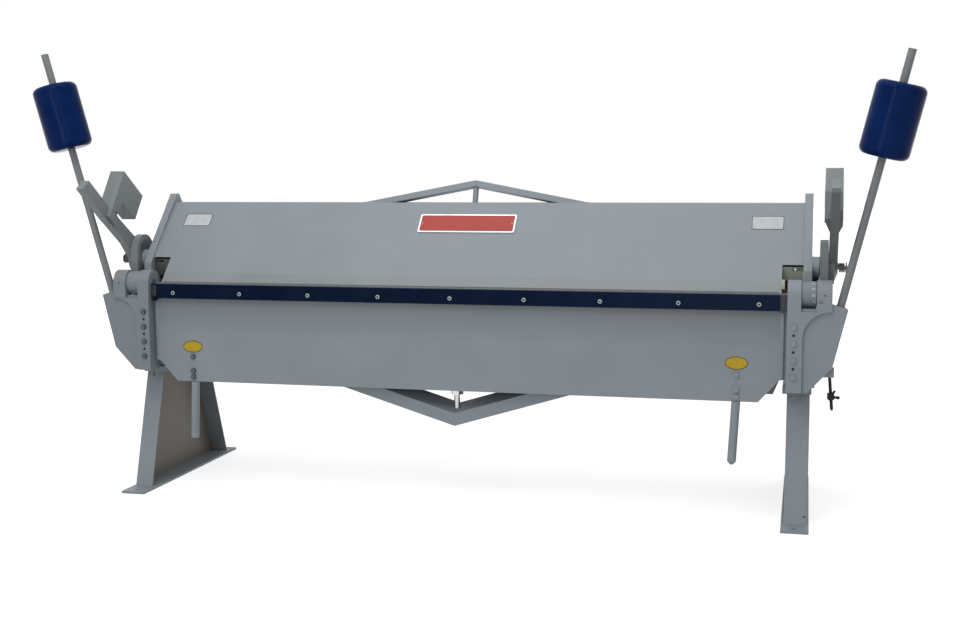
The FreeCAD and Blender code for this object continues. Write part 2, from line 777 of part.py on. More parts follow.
save("bed_jaw", box(-bed_half, bed_half, hinge_y + jaw_gap, jaw_back_y, jaw_bottom, hinge_height))
save("bed_front_plate", box(-bed_half, bed_half, bed_front_y, jaw_back_y, bed_bottom, jaw_bottom))
save("bed_top_plate", box(-bed_half, bed_half, jaw_back_y, bed_back_y,
                          hinge_height - bed_skin, hinge_height))
save("bed_rear_plate", make_bed_rear_plate())
save("bed_bottom_plate", box(-bed_half, bed_half, jaw_back_y, bed_back_y - bed_skin,
                             bed_bottom, bed_bottom + bed_skin))
save("bed_truss_bars", make_bed_truss_bar(), mirrored(make_bed_truss_bar()))
save("bed_truss_jack", make_jack())


# Stands: base plate, bent leg and cap plate at each end

def make_base_plate():
    """Right-hand base plate with its anchor holes and one levelling hole."""
    half = base_width / 2
    plate = box(anchor_x - half, anchor_x + half, -base_length / 2, base_length / 2, 0, base_thickness)
    hole_y = base_length / 2 - anchor_end
    holes = [bar_z(anchor_hole / 2, anchor_x, side * hole_y, 0, base_thickness)
             for side in (-1, 1)]
    holes.append(bar_z(levelling_hole / 2, anchor_x - levelling_inset, levelling_y, 0, base_thickness))
    return plate.cut(Part.makeCompound(holes))


def leg_outline(inset):
    """Side outline of a leg, moved inwards along Y by inset."""
    return [(leg_front_y + inset, base_thickness), (leg_rear_y - inset, base_thickness),
            (leg_top_rear_y - inset, cap_bottom_height), (leg_top_front_y + inset, cap_bottom_height)]


def make_leg(flange):
    """Right-hand leg, one sheet bent into a channel that is open to the middle."""
    inner_x = stand_outer_x - flange
    body = plate_across(leg_outline(0), inner_x, stand_outer_x)
    body = soften(body, leg_sheet, lambda edge: edge.BoundBox.XMin > stand_outer_x - leg_sheet / 2
                  and edge.BoundBox.YLength < edge.BoundBox.ZLength)
    return body.cut(plate_across(leg_outline(leg_sheet), inner_x, stand_outer_x - leg_sheet))


def frame_bolt_places():
    return [V(frame_inner_x + frame_bolt_inset, y, cap_bottom_height) for y in frame_bolt_rows_y]


def make_cap_plate():
    outer_x = stand_outer_x + cap_overhang
    plate = box(outer_x - cap_width, outer_x, cap_front_y, cap_rear_y,
                cap_bottom_height, cap_top_height)
    holes = [bar_z(frame_bolt_shank / 2 + push_fit, place.x, place.y,
                   cap_bottom_height, cap_top_height) for place in frame_bolt_places()]
    return plate.cut(Part.makeCompound(holes))


def make_frame_bolt(place):
    head = prism(6, frame_bolt_across_flats, place - V(0, 0, frame_bolt_head), place)
    end = place + V(0, 0, cap_thickness + frame_bolt_grip)
    return head.fuse(round_bar(frame_bolt_shank / 2, place, end)).removeSplitter()


# Side frames: they carry the bed, the hinge barrels and the links' lower pins

link_y = hinge_y + shaft_y
link_pin_z = hinge_height - link_pin_drop


def make_side_frame():
    foot = cap_top_height - hinge_height
    rear = [(web_rear, foot), (web_rear, foot + web_rear_height), (web_top_rear, -web_top_drop)]
    web_front = [(web_root_back, -web_top_drop), (web_setback, -web_root_drop),
                 (web_setback, -web_heel_drop), (web_foot_setback, foot)]
    rib_front = [(rib_setback, -web_top_drop), (rib_setback, -web_heel_drop),
                 (web_foot_setback, foot)]
    web = plate_across([at_hinge(*point) for point in web_front + rear],
                       barrel_inner_x, barrel_outer_x)
    rib = plate_across([at_hinge(*point) for point in rib_front + rear],
                       frame_inner_x, barrel_inner_x)
    barrel = bar_x(barrel_radius, barrel_inner_x + barrel_side_gap, barrel_outer_x - barrel_side_gap,
                   hinge_y, hinge_height)
    frame = web.multiFuse([rib, barrel]).removeSplitter()
    tools = [bar_x(hinge_pin_diameter / 2 + push_fit, barrel_inner_x, barrel_outer_x,
                   hinge_y, hinge_height),
             bar_x(link_pin_diameter / 2 + push_fit, barrel_inner_x, barrel_outer_x,
                   link_y, link_pin_z)]
    tools += [bar_z(frame_bolt_shank / 2 + push_fit, place.x, place.y, cap_top_height,
                    cap_top_height + frame_bolt_grip) for place in frame_bolt_places()]
    return frame.cut(Part.makeCompound(tools))


def make_guide_block():
    """Block that the beam's cheek slides along: it sits on the side frame and reaches over the bed."""
    outer_x = cheek_inner_x - running_gap
    front = hinge_y + guide_front
    rear = hinge_y + guide_rear
    top = frame_top + guide_height
    block = box(frame_inner_x, outer_x, front, rear, frame_top, top)
    overhang = box(notch_inner_x + guide_overhang_gap, frame_inner_x, front, rear,
                   hinge_height + guide_overhang_gap, top)
    slot_top = top - guide_slot_drop
    slot = box(frame_inner_x + guide_slot_inset, outer_x, front, front + guide_slot_depth,
               slot_top - guide_slot_height, slot_top)
    return block.fuse(overhang).removeSplitter().cut(slot)


def make_link_pin():
    """Pin with a shoulder inside of the link and a retaining disc outside."""
    radius = link_pin_diameter / 2
    end_x = link_end_x + link_gap
    pin = bar_x(radius, barrel_inner_x, end_x, link_y, link_pin_z)
    shoulder = bar_x(link_washer_radius, barrel_outer_x, link_x - link_gap, link_y, link_pin_z)
    disc = bar_x(link_washer_radius, end_x, end_x + link_washer, link_y, link_pin_z)
    return pin.multiFuse([shoulder, disc]).removeSplitter()


hinge_pin = bar_x(hinge_pin_diameter / 2, lug_inner_x + pin_recess, outer_lug_end - pin_recess,
                  hinge_y, hinge_height)
side_frame = make_side_frame()
frame_bolts = [make_frame_bolt(place) for place in frame_bolt_places()]

save("base_plates", make_base_plate(), mirrored(make_base_plate()))
save("leg_right", make_leg(leg_flange))
save("leg_left", mirrored(make_leg(leg_flange_left)))
save("cap_plates", make_cap_plate(), mirrored(make_cap_plate()))
save("frame_bolts", *(frame_bolts + [mirrored(bolt) for bolt in frame_bolts]))
save("side_frame_right", side_frame)
save("side_frame_left", mirrored(side_frame))
save("guide_blocks", make_guide_block(), mirrored(make_guide_block()))
save("link_pins", make_link_pin(), mirrored(make_link_pin()))
save("hinge_pins", hinge_pin, mirrored(hinge_pin))


# Clamping beam: its front face leans back from the nose

face_lean = math.radians(face_lean_deg)


def beam_face(up, behind=0.0):
    """Point at a height above the hinge axis, on the face or behind it along Y."""
    return at_hinge(beam_setback + up * math.tan(face_lean) + behind, up)


skin_run = beam_skin / math.cos(face_lean)
blade_top = clamp_gap + nose_blade_height
holder_top = blade_top + nose_holder_height
nose_back = beam_setback + nose_depth
beam_top_rear = (beam_setback + beam_top_height * math.tan(face_lean) + skin_run
                 + beam_top_depth)
rear_plate_back = beam_top_rear - beam_rear_inset
beam_half = cheek_inner_x


def make_nose_blade():
    land_end = beam_setback + nose_land
    heel = clamp_gap + heel_relief
    outline = [beam_face(clamp_gap), beam_face(blade_top), at_hinge(nose_back, blade_top),
               at_hinge(nose_back, heel), at_hinge(land_end + heel_relief, heel),
               at_hinge(land_end, clamp_gap)]
    return plate_across(outline, -notch_inner_x, notch_inner_x)


def make_nose_holder():
    outline = [beam_face(blade_top), beam_face(holder_top), at_hinge(nose_back, holder_top),
               at_hinge(nose_back, blade_top)]
    return plate_across(outline, -notch_inner_x, notch_inner_x)


def make_beam_front_plate():
    outline = [beam_face(holder_top), beam_face(beam_top_height),
               beam_face(beam_top_height, skin_run), beam_face(holder_top, skin_run)]
    plate = plate_across(outline, -beam_half, beam_half)
    notch = box(notch_inner_x, beam_half, hinge_y, hinge_y + beam_top_rear,
                hinge_height, hinge_height + notch_height)
    return plate.cut(notch).cut(mirrored(notch))


def make_beam_top_plate():
    low = beam_top_height - beam_skin
    outline = [beam_face(low, skin_run), beam_face(beam_top_height, skin_run),
               at_hinge(beam_top_rear, beam_top_height), at_hinge(beam_top_rear, low)]
    return plate_across(outline, -beam_half, beam_half)


def make_beam_bottom_plate():
    high = holder_top + beam_skin
    outline = [beam_face(holder_top, skin_run), beam_face(high, skin_run),
               at_hinge(rear_plate_back, high), at_hinge(rear_plate_back, holder_top)]
    return plate_across(outline, -notch_inner_x, notch_inner_x)


def make_beam_rear_plate():
    front = rear_plate_back - beam_skin
    low = holder_top + beam_skin
    high = beam_top_height - beam_skin
    outline = [at_hinge(front, low), at_hinge(rear_plate_back, low),
               at_hinge(rear_plate_back, high), at_hinge(front, high)]
    return plate_across(outline, -beam_half, beam_half)


shaft_place = at_hinge(shaft_y, shaft_height)


def make_cheek():
    outline = [(cheek_low_front, cheek_bottom), (cheek_knee_front, cheek_knee_height),
               (cheek_mid_front, cheek_mid_height),
               (cheek_top_front, cheek_top), (cheek_top_rear, cheek_top),
               (cheek_rear, cheek_rear_height), (cheek_rear, cheek_bottom)]
    cheek = plate_across([at_hinge(*point) for point in outline], cheek_inner_x, cheek_outer_x)
    boss = bar_x(shaft_boss_radius, cheek_inner_x, cheek_outer_x, *shaft_place)
    bore = bar_x(shaft_diameter / 2 + running_fit, cheek_inner_x, cheek_outer_x, *shaft_place)
    return cheek.fuse(boss).removeSplitter().cut(bore)


def make_shaft_bush():
    bush = bar_x(bush_radius, cheek_outer_x, bush_end_x, *shaft_place)
    bush = soften(bush, bush_edge, lambda edge: abs(edge.BoundBox.XMin - bush_end_x) < near)
    return bush.cut(bar_x(shaft_diameter / 2 + running_fit, cheek_outer_x, bush_end_x, *shaft_place))


beam_truss_foot = beam_top_height
beam_truss_lean = math.radians(beam_truss_lean_deg)


def truss_point(x, up, deep=0.0):
    """Point of the beam's truss: it leans back, and deep counts square to its face."""
    back = beam_truss_setback + (up - beam_truss_foot) * math.tan(beam_truss_lean)
    y, z = at_hinge(back, up)
    return V(x, y + deep * math.cos(beam_truss_lean), z - deep * math.sin(beam_truss_lean))


def make_beam_truss_bar():
    """Right-hand strut of the truss that keeps the beam straight."""
    section = [truss_point(0, beam_truss_apex), truss_point(0, beam_truss_apex - beam_truss_face),
               truss_point(0, beam_truss_apex - beam_truss_face, beam_truss_depth),
               truss_point(0, beam_truss_apex, beam_truss_depth)]
    run = truss_point(beam_truss_reach, beam_truss_foot) - truss_point(0, beam_truss_apex)
    bar = closed_face(section).extrude(run)
    under = box(0, beam_truss_reach, hinge_y, hinge_y + beam_top_rear,
                hinge_height, hinge_height + beam_truss_foot)
    return bar.cut(under)


def make_beam_post():
    """Post under the apex of the truss."""
    middle = beam_truss_depth / 2
    foot = truss_point(0, beam_truss_foot, middle)
    top = truss_point(0, beam_truss_apex, middle)
    rise = (top - foot).normalize()
    post = round_bar(beam_post_diameter / 2, foot - rise * beam_post_root, top)
    below = box(-beam_truss_reach, beam_truss_reach, hinge_y, hinge_y + beam_top_rear,
                hinge_height, hinge_height + beam_truss_foot)
    bar = make_beam_truss_bar()
    return post.cut(below).cut(bar).cut(mirrored(bar))


def face_plate(x0, x1, start, length, thickness, corner):
    """Thin plate on the beam's face, with rounded corners."""
    along = V(0, math.sin(face_lean), math.cos(face_lean))
    out = V(0, -math.cos(face_lean), math.sin(face_lean))
    origin = V(0, *beam_face(0)) + along * start
    plate = Part.makeBox(x1 - x0, length, thickness, V(x0, 0, 0))
    plate = soften(plate, corner, lambda edge: abs(edge.Length - thickness) < near)
    plate.Placement = FreeCAD.Placement(origin, FreeCAD.Rotation(V(1, 0, 0), along, out, "XYZ"))
    return plate


cheek = make_cheek()
truss_bar = make_beam_truss_bar()
bush = make_shaft_bush()
label_outer = cheek_inner_x - label_outer_gap
label = face_plate(label_outer - label_width, label_outer, label_start, label_length,
                   plate_thickness, label_corner)

save("beam_front_plate", make_beam_front_plate())
save("beam_top_plate", make_beam_top_plate())
save("beam_rear_plate", make_beam_rear_plate())
save("beam_bottom_plate", make_beam_bottom_plate())
save("nose_blade", make_nose_blade())
save("nose_holder", make_nose_holder())
save("cheek_right", cheek)
save("cheek_left", mirrored(cheek))
save("shaft_bushes", bush, mirrored(bush))
save("beam_truss_bars", truss_bar, mirrored(truss_bar))
save("beam_truss_post", make_beam_post())
save("label_plates", label, mirrored(label))
save("name_plate", face_plate(-name_half_width, name_half_width, name_start, name_length,
                              name_thickness, name_corner))


# Clamping levers, eccentric shafts and links

disc_place = at_hinge(shaft_y, shaft_height + eccentricity)
nut_x = lever_end_x + spring_seat * 2 + spring_turns * spring_pitch + spring_wire
shaft_end_x = nut_x + nut_thickness


def make_eccentric_shaft():
    """Shaft with its eccentric disc and the stud that carries spring and nut."""
    shaft = bar_x(shaft_diameter / 2, cheek_inner_x, lever_end_x, *shaft_place)
    disc = bar_x(disc_radius, link_x, link_end_x, *disc_place)
    stud = bar_x(stud_diameter / 2, lever_end_x, shaft_end_x + stud_stand, *shaft_place)
    return shaft.multiFuse([disc, stud]).removeSplitter()


def lever_point(along, down):
    """YZ point of the lever: along its arm from the head's front face, down from the head's top."""
    tilt = math.radians(head_tilt_deg)
    y, z = shaft_place
    along -= head_to_shaft
    down -= head_height + arm_depth / 2 + hub_drop
    return (y + along * math.cos(tilt) - down * math.sin(tilt),
            z - along * math.sin(tilt) - down * math.cos(tilt))


def lever_profile(points, x0, x1):
    return plate_across([lever_point(*point) for point in points], x0, x1)


def make_lever(lean_deg, head_offset):
    """Right-hand lever: hub, arm that leans inwards and the block-shaped head astride the arm."""
    arm_top = head_height
    arm_low = head_height + arm_depth
    foot_low = arm_low - head_foot_rise
    tip = arm_top - arm_tip_rise
    arm = lever_profile([(-arm_reach, tip), (0, arm_top), (head_to_shaft, arm_top - hub_taper_top),
                         (head_to_shaft, arm_low + hub_taper_low),
                         (arm_low_straight, arm_low), (-head_leg / 2, arm_low),
                         (-arm_reach - arm_tip_slant, tip + arm_tip_depth)],
                        lever_x - arm_thickness * 2, lever_end_x + arm_thickness)
    y, z = shaft_place
    tilt = math.radians(head_tilt_deg)
    middle_x = (lever_x + lever_end_x) / 2
    half = arm_thickness / 2
    reach = head_to_shaft + arm_reach + arm_depth
    slab = box(-half, half, -reach, reach, -reach, reach)
    across_arm = V(0, math.sin(tilt), math.cos(tilt))
    slab.rotate(V(0, 0, 0), across_arm, -lean_deg)
    slab.translate(V(middle_x, y, z))
    arm = arm.common(slab)
    bevel_x = lever_end_x - lever_hub_bevel
    hub = bar_x(lever_hub_radius, lever_x, bevel_x, y, z)
    cone = Part.makeCone(lever_hub_radius, lever_hub_face_radius, lever_hub_bevel,
                         V(bevel_x, y, z), V(1, 0, 0))
    x0 = middle_x - head_offset - head_width / 2
    x1 = x0 + head_width
    head = lever_profile([(0, 0), (head_length, 0), (head_length, head_depth),
                          (head_leg, head_depth), (head_leg, arm_top), (0, arm_top)], x0, x1)
    arm_middle = middle_x - (head_to_shaft - foot_taper_end) * math.sin(math.radians(lean_deg))
    foot_points = [(0, x0), (0, x1), (foot_outer_straight, x1), (foot_taper_end, arm_middle + half),
                   (foot_taper_end, arm_middle - half), (foot_inner_straight, x0)]
    foot = closed_face([V(x, *lever_point(along, arm_top)) for along, x in foot_points])
    foot = foot.extrude(V(0, *lever_point(0, foot_low)) - V(0, *lever_point(0, arm_top)))
    lever = hub.multiFuse([cone, arm, head, foot]).removeSplitter()
    return lever.cut(bar_x(shaft_diameter / 2 + push_fit, lever_x, lever_end_x, y, z))


def make_link():
    """Strap with the eccentric's ring above and a roomy eye around the lower pin."""
    y, z = disc_place
    foot_y, foot_z = link_y, link_pin_z
    half = link_ring_radius
    straight = z - link_straight
    outline = [(y - half, z), (y + half, z), (y + half, straight),
               (foot_y + link_foot_radius, foot_z), (foot_y - link_foot_radius, foot_z),
               (y - half, straight)]
    strap = plate_across(outline, link_x, link_end_x)
    ring = bar_x(link_ring_radius, link_x, link_end_x, y, z)
    foot = bar_x(link_foot_radius, link_x, link_end_x, foot_y, foot_z)
    link = strap.multiFuse([ring, foot]).removeSplitter()
    bore = bar_x(disc_radius + running_fit, link_x, link_end_x, y, z)
    eye = bar_x(link_pin_diameter / 2 + link_pin_play, link_x, link_end_x, foot_y, foot_z)
    return link.cut(bore).cut(eye)


def biarc(p0, t0, p1, t1):
    """Two arcs that leave p0 along t0 and reach p1 along t1 (unit tangents)."""
    chord = p0 - p1
    tangents = t0 + t1
    a = 2 * (t0.dot(t1) - 1)
    b = 2 * chord.dot(tangents)
    c = chord.dot(chord)
    reach = (-b - math.sqrt(b * b - 4 * a * c)) / (2 * a)
    joint = (p0 + t0 * reach + p1 - t1 * reach) * 0.5
    arcs = []
    for start, tangent, end in ((p0, t0, joint), (p1, t1 * -1, joint)):
        run = end - start
        half_angle = tangent.getAngle(run)
        sideways = (run - tangent * run.dot(tangent)).normalize()
        middle = start + run * 0.5
        radius = run.Length / (2 * math.sin(half_angle))
        bulge = radius * (1 - math.cos(half_angle))
        outward = (tangent - run * (tangent.dot(run) / run.dot(run))).normalize()
        if outward.dot(sideways) > 0:
            outward = outward * -1
        arcs.append(Part.Arc(start, middle + outward * bulge, end).toShape())
    return arcs


def make_spring():
    """Open coil around the stud, between the lever and the nut."""
    radius = (spring_outer - spring_wire) / 2
    y, z = shaft_place
    start_x = lever_end_x + spring_seat + spring_wire / 2
    rise = spring_pitch / (2 * math.pi)

    def point(angle):
        return V(start_x + rise * angle, y + radius * math.cos(angle), z + radius * math.sin(angle))

    def tangent(angle):
        return V(rise, -radius * math.sin(angle), radius * math.cos(angle)).normalize()

    step = math.pi / 2
    samples_per_turn = 32
    edges = []
    for quarter in range(spring_turns * 4):
        a0 = quarter * step
        a1 = a0 + step
        edges += biarc(point(a0), tangent(a0), point(a1), tangent(a1))
    path = Part.Wire(edges)
    circle = Part.Circle(point(0), tangent(0), spring_wire / 2)
    coil = path.makePipeShell([Part.Wire(circle.toShape())], True, False)
    samples = [point(2 * math.pi * i / samples_per_turn)
               for i in range(spring_turns * samples_per_turn + 1)]
    apart = samples_per_turn * 3 // 4
    gap = min((samples[i] - samples[j]).Length
              for i in range(len(samples)) for j in range(i + apart, len(samples))) - spring_wire
    print("least gap between the coils: %.2f mm" % gap)
    return coil


def make_lever_nut():
    y, z = shaft_place
    nut = prism(6, nut_across_flats, V(nut_x, y, z), V(shaft_end_x, y, z))
    return nut.cut(bar_x(stud_diameter / 2 + push_fit, nut_x, shaft_end_x, y, z))


save("clamp_lever_right", make_lever(lever_lean_right_deg, head_offset_right))
save("clamp_lever_left", mirrored(make_lever(-lever_lean_left_deg, head_offset_left)))
for name, shape in (("eccentric_shaft", make_eccentric_shaft()), ("link", make_link()),
                    ("lever_spring", make_spring()), ("lever_nut", make_lever_nut())):
    save(name + "_right", shape)
    save(name + "_left", mirrored(shape))


# Angle stop, only at the right-hand end: rod under the casting, sliding collar, clamp lever

wing_back_y = casting_front_y + casting_wing_thickness
stop_rod_top = V(outer_lug_end - stop_inset, wing_back_y + stop_bracket_depth / 2,
                 hinge_height - stop_bracket_bottom_drop)
stop_direction = V(math.tan(math.radians(stop_rod_lean_deg)), 0, -1).normalize()
stop_rod_start = stop_rod_top - stop_direction * stop_rod_seat
stop_collar_top = stop_rod_top + stop_direction * (stop_collar_drop - stop_bracket_bottom_drop)


def make_stop_bracket():
    bracket = box(stop_rod_top.x - stop_bracket_inner, stop_rod_top.x + stop_bracket_outer,
                  wing_back_y, wing_back_y + stop_bracket_depth,
                  hinge_height - stop_bracket_bottom_drop, hinge_height - stop_bracket_top_drop)
    return bracket.cut(round_bar(stop_rod_diameter / 2 + push_fit, stop_rod_start, stop_collar_top))


def make_stop_collar():
    end = stop_collar_top + stop_direction * stop_collar_length
    collar = round_bar(stop_collar_radius, stop_collar_top, end)
    bore = round_bar(stop_rod_diameter / 2 + running_fit, stop_collar_top, end)
    return collar.cut(bore)


def make_stop_lever():
    """Disc on the collar's front with an arm to the side, a spur and a tapered handle below."""
    middle = stop_collar_top + stop_direction * (stop_collar_length / 2)
    face_y = middle.y - stop_collar_radius - running_gap
    disc = bar_y(stop_hub_radius, middle.x, face_y - stop_hub_thickness, face_y, middle.z)
    arm_y = face_y - stop_hub_thickness / 2
    start = V(middle.x, arm_y, middle.z)
    arm_end = start + V(stop_arm_length, 0, -stop_arm_sag)
    arm = round_bar(stop_arm_diameter / 2, start, arm_end)
    knob = Part.makeSphere(stop_knob_radius, arm_end)
    spur = round_bar(stop_spur_radius, start, start + V(stop_spur_x, 0, stop_spur_z))
    tail = V(stop_tail_side, 0, -stop_tail_length)
    handle = Part.makeCone(stop_tail_root_radius, stop_tail_tip_radius, tail.Length, start, tail)
    return disc.multiFuse([arm, knob, spur, handle]).removeSplitter()


save("stop_bracket", make_stop_bracket())
save("stop_rod", round_bar(stop_rod_diameter / 2, stop_rod_start,
                           stop_rod_top + stop_direction * (stop_rod_drop - stop_bracket_bottom_drop)))
save("stop_collar", make_stop_collar())
save("stop_lever", make_stop_lever())
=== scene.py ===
# Looks, light and camera for the sheet metal folder. Units are metres, in the frame of the CAD parts.
import bpy
import bmesh
import json
import math
from mathutils import Matrix, Vector


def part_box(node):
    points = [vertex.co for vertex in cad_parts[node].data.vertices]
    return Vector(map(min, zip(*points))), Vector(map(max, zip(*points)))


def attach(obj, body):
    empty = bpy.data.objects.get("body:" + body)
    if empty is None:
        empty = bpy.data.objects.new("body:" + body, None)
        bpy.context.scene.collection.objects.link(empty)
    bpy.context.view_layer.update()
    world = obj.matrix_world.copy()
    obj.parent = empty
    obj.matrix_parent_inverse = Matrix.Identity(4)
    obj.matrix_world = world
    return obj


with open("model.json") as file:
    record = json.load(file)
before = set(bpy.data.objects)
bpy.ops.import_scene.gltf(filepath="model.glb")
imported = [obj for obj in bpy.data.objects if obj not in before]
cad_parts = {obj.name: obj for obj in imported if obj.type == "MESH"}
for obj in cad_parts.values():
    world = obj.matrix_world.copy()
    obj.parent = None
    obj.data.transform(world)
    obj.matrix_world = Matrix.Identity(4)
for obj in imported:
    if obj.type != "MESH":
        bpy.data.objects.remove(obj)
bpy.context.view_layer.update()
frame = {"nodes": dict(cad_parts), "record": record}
nodes = frame["nodes"]
scene = bpy.context.scene
print("frame loaded,", len(nodes), "nodes")


# Small helpers

bothSides = ((-1, "left"), (1, "right"))
hexagon = 6  # sides of a small screw's outline
edgeBevel = 0.001  # on small blocks and pads
mixA, mixB, mixOut = 6, 7, 2  # sockets of a colour mix, by number because its other kinds share the names


def hexLinear(code):  # sRGB hex to linear colour
    values = []
    for i in (0, 2, 4):
        c = int(code[i:i + 2], 16) / 255
        values.append(c / 12.92 if c <= 0.04045 else ((c + 0.055) / 1.055) ** 2.4)
    return (values[0], values[1], values[2], 1.0)


def shaded(colour, factor, lift=0.0):  # a linear colour made darker or lighter
    return tuple(min(1.0, c * factor + lift) for c in colour[:3]) + (1.0,)


def perMetre(sizeMm):  # noise scale for a feature of this size
    return 1000.0 / sizeMm


def addNode(tree, kind, settings=None, links=None):  # settings by attribute or socket, links by socket
    node = tree.nodes.new(kind)
    for key, value in (settings or {}).items():
        if isinstance(key, str) and hasattr(node, key):
            setattr(node, key, value)
        else:
            node.inputs[key].default_value = value
    for key, source in (links or {}).items():
        tree.links.new(source, node.inputs[key])
    return node


def newMaterial(name):
    material = bpy.data.materials.new(name)
    material.use_nodes = True
    material.node_tree.nodes.clear()
    return material, material.node_tree


def bmeshPiece(name, bm, material, body, smooth=False):
    bmesh.ops.recalc_face_normals(bm, faces=bm.faces)
    mesh = bpy.data.meshes.new(name)
    bm.to_mesh(mesh)
    bm.free()
    piece = bpy.data.objects.new(name, mesh)
    scene.collection.objects.link(piece)
    mesh.materials.append(material)
    for polygon in mesh.polygons:
        polygon.use_smooth = smooth
    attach(piece, body)
    return piece


def skinRings(bm, rings, closed=False):  # faces from ring to ring, then back to the first or two end caps
    following = rings[1:] + (rings[:1] if closed else [])
    for a, b in zip(rings, following):
        for i in range(len(a)):
            j = (i + 1) % len(a)
            bm.faces.new((a[i], a[j], b[j], b[i]))
    if not closed:
        bm.faces.new(rings[0][::-1])
        bm.faces.new(rings[-1])


def addBox(bm, low, high, bevel=0.0):
    made = bmesh.ops.create_cube(bm, size=1.0)["verts"]
    for vertex in made:
        vertex.co = Vector([low[i] + (vertex.co[i] + 0.5) * (high[i] - low[i]) for i in range(3)])
    if bevel > 0:
        edges = {edge for vertex in made for edge in vertex.link_edges}
        bmesh.ops.bevel(bm, geom=list(edges), offset=bevel, segments=2, profile=0.5, affect="EDGES")


def addPrism(bm, start, end, radius, sides, turn=0.0, topRadius=None):
    start, end = Vector(start), Vector(end)
    rotation = (end - start).to_track_quat("Z", "Y")
    rings = []
    for point, ringRadius in ((start, radius), (end, topRadius or radius)):
        ring = []
        for i in range(sides):
            angle = turn + 2 * math.pi * i / sides
            flat = Vector((math.cos(angle), math.sin(angle), 0)) * ringRadius
            ring.append(bm.verts.new(point + rotation @ flat))
        rings.append(ring)
    skinRings(bm, rings)


# Materials

def tinted(tree, place, tone, tint):  # blends in a second colour, along an axis or by where a face looks
    if tint["axis"] == "facing":  # 1 on a face that looks outwards, -1 on one that looks at the middle
        normal = addNode(tree, "ShaderNodeTexCoord").outputs["Normal"]
        facing = addNode(tree, "ShaderNodeSeparateXYZ", links={"Vector": normal}).outputs["X"]
        across = addNode(tree, "ShaderNodeSeparateXYZ", links={"Vector": place}).outputs["X"]
        side = addNode(tree, "ShaderNodeMath", {"operation": "SIGN"}, {0: across}).outputs[0]
        along = addNode(tree, "ShaderNodeMath", {"operation": "MULTIPLY"}, {0: facing, 1: side}).outputs[0]
    else:
        along = addNode(tree, "ShaderNodeSeparateXYZ", links={"Vector": place}).outputs[tint["axis"]]
    share = addNode(tree, "ShaderNodeMapRange", {"From Min": tint["start"], "From Max": tint["end"]},
                    {"Value": along}).outputs[0]
    return addNode(tree, "ShaderNodeMix", {"data_type": "RGBA", mixB: hexLinear(tint["colour"])},
                   {"Factor": share, mixA: tone}).outputs[mixOut]


greyLook = {"unevenMm": 240.0, "spread": 0.05, "dustMm": 1.6, "dust": "B9B8B2", "dustMost": 0.20,
            "peelMm": 3.0, "peelDepth": 0.0003, "castDepth": 0.0009}


def greyEnamel(name, colour, roughness, castMm=0.0, tint=None):
    # sprayed semi-gloss machine enamel: soft sheen, slight orange peel, a little settled dust
    material, tree = newMaterial(name)
    place = addNode(tree, "ShaderNodeTexCoord").outputs["Object"]
    uneven = addNode(tree, "ShaderNodeTexNoise", {"Scale": perMetre(greyLook["unevenMm"]), "Detail": 3.0},
                     {"Vector": place}).outputs[0]
    dust = addNode(tree, "ShaderNodeTexNoise", {"Scale": perMetre(greyLook["dustMm"]), "Detail": 2.0},
                   {"Vector": place}).outputs[0]
    peel = addNode(tree, "ShaderNodeTexNoise", {"Scale": perMetre(greyLook["peelMm"]), "Detail": 1.0},
                   {"Vector": place}).outputs[0]
    darker = shaded(hexLinear(colour), 1 - greyLook["spread"])
    lighter = shaded(hexLinear(colour), 1 + greyLook["spread"])
    patches = addNode(tree, "ShaderNodeMapRange", {"From Min": 0.35, "From Max": 0.65}, {"Value": uneven})
    tone = addNode(tree, "ShaderNodeMix", {"data_type": "RGBA", mixA: darker, mixB: lighter},
                   {"Factor": patches.outputs[0]}).outputs[mixOut]
    if tint:
        tone = tinted(tree, place, tone, tint)
    specks = addNode(tree, "ShaderNodeMapRange",
                     {"From Min": 0.60, "From Max": 0.78, "To Max": greyLook["dustMost"]}, {"Value": dust})
    dusty = addNode(tree, "ShaderNodeMix", {"data_type": "RGBA", mixB: hexLinear(greyLook["dust"])},
                    {"Factor": specks.outputs[0], mixA: tone}).outputs[mixOut]
    shine = addNode(tree, "ShaderNodeMapRange", {"From Min": 0.3, "From Max": 0.7,
                    "To Min": roughness - 0.05, "To Max": roughness + 0.07}, {"Value": uneven})
    bump = addNode(tree, "ShaderNodeBump", {"Strength": 0.25, "Distance": greyLook["peelDepth"]},
                   {"Height": peel})
    if castMm > 0:  # the sand-cast skin below the enamel
        sand = addNode(tree, "ShaderNodeTexNoise", {"Scale": perMetre(castMm), "Detail": 4.0},
                       {"Vector": place}).outputs[0]
        bump = addNode(tree, "ShaderNodeBump", {"Strength": 0.35, "Distance": greyLook["castDepth"]},
                       {"Height": sand, "Normal": bump.outputs[0]})
    shader = addNode(tree, "ShaderNodeBsdfPrincipled", {"Metallic": 0.0, "IOR": 1.5},
                     {"Base Color": dusty, "Roughness": shine.outputs[0], "Normal": bump.outputs[0]})
    addNode(tree, "ShaderNodeOutputMaterial", links={"Surface": shader.outputs[0]})
    return material


glossLook = {"waveMm": 14.0, "waveDepth": 0.0004, "filmMm": 90.0, "lighter": 1.25, "lift": 0.002}


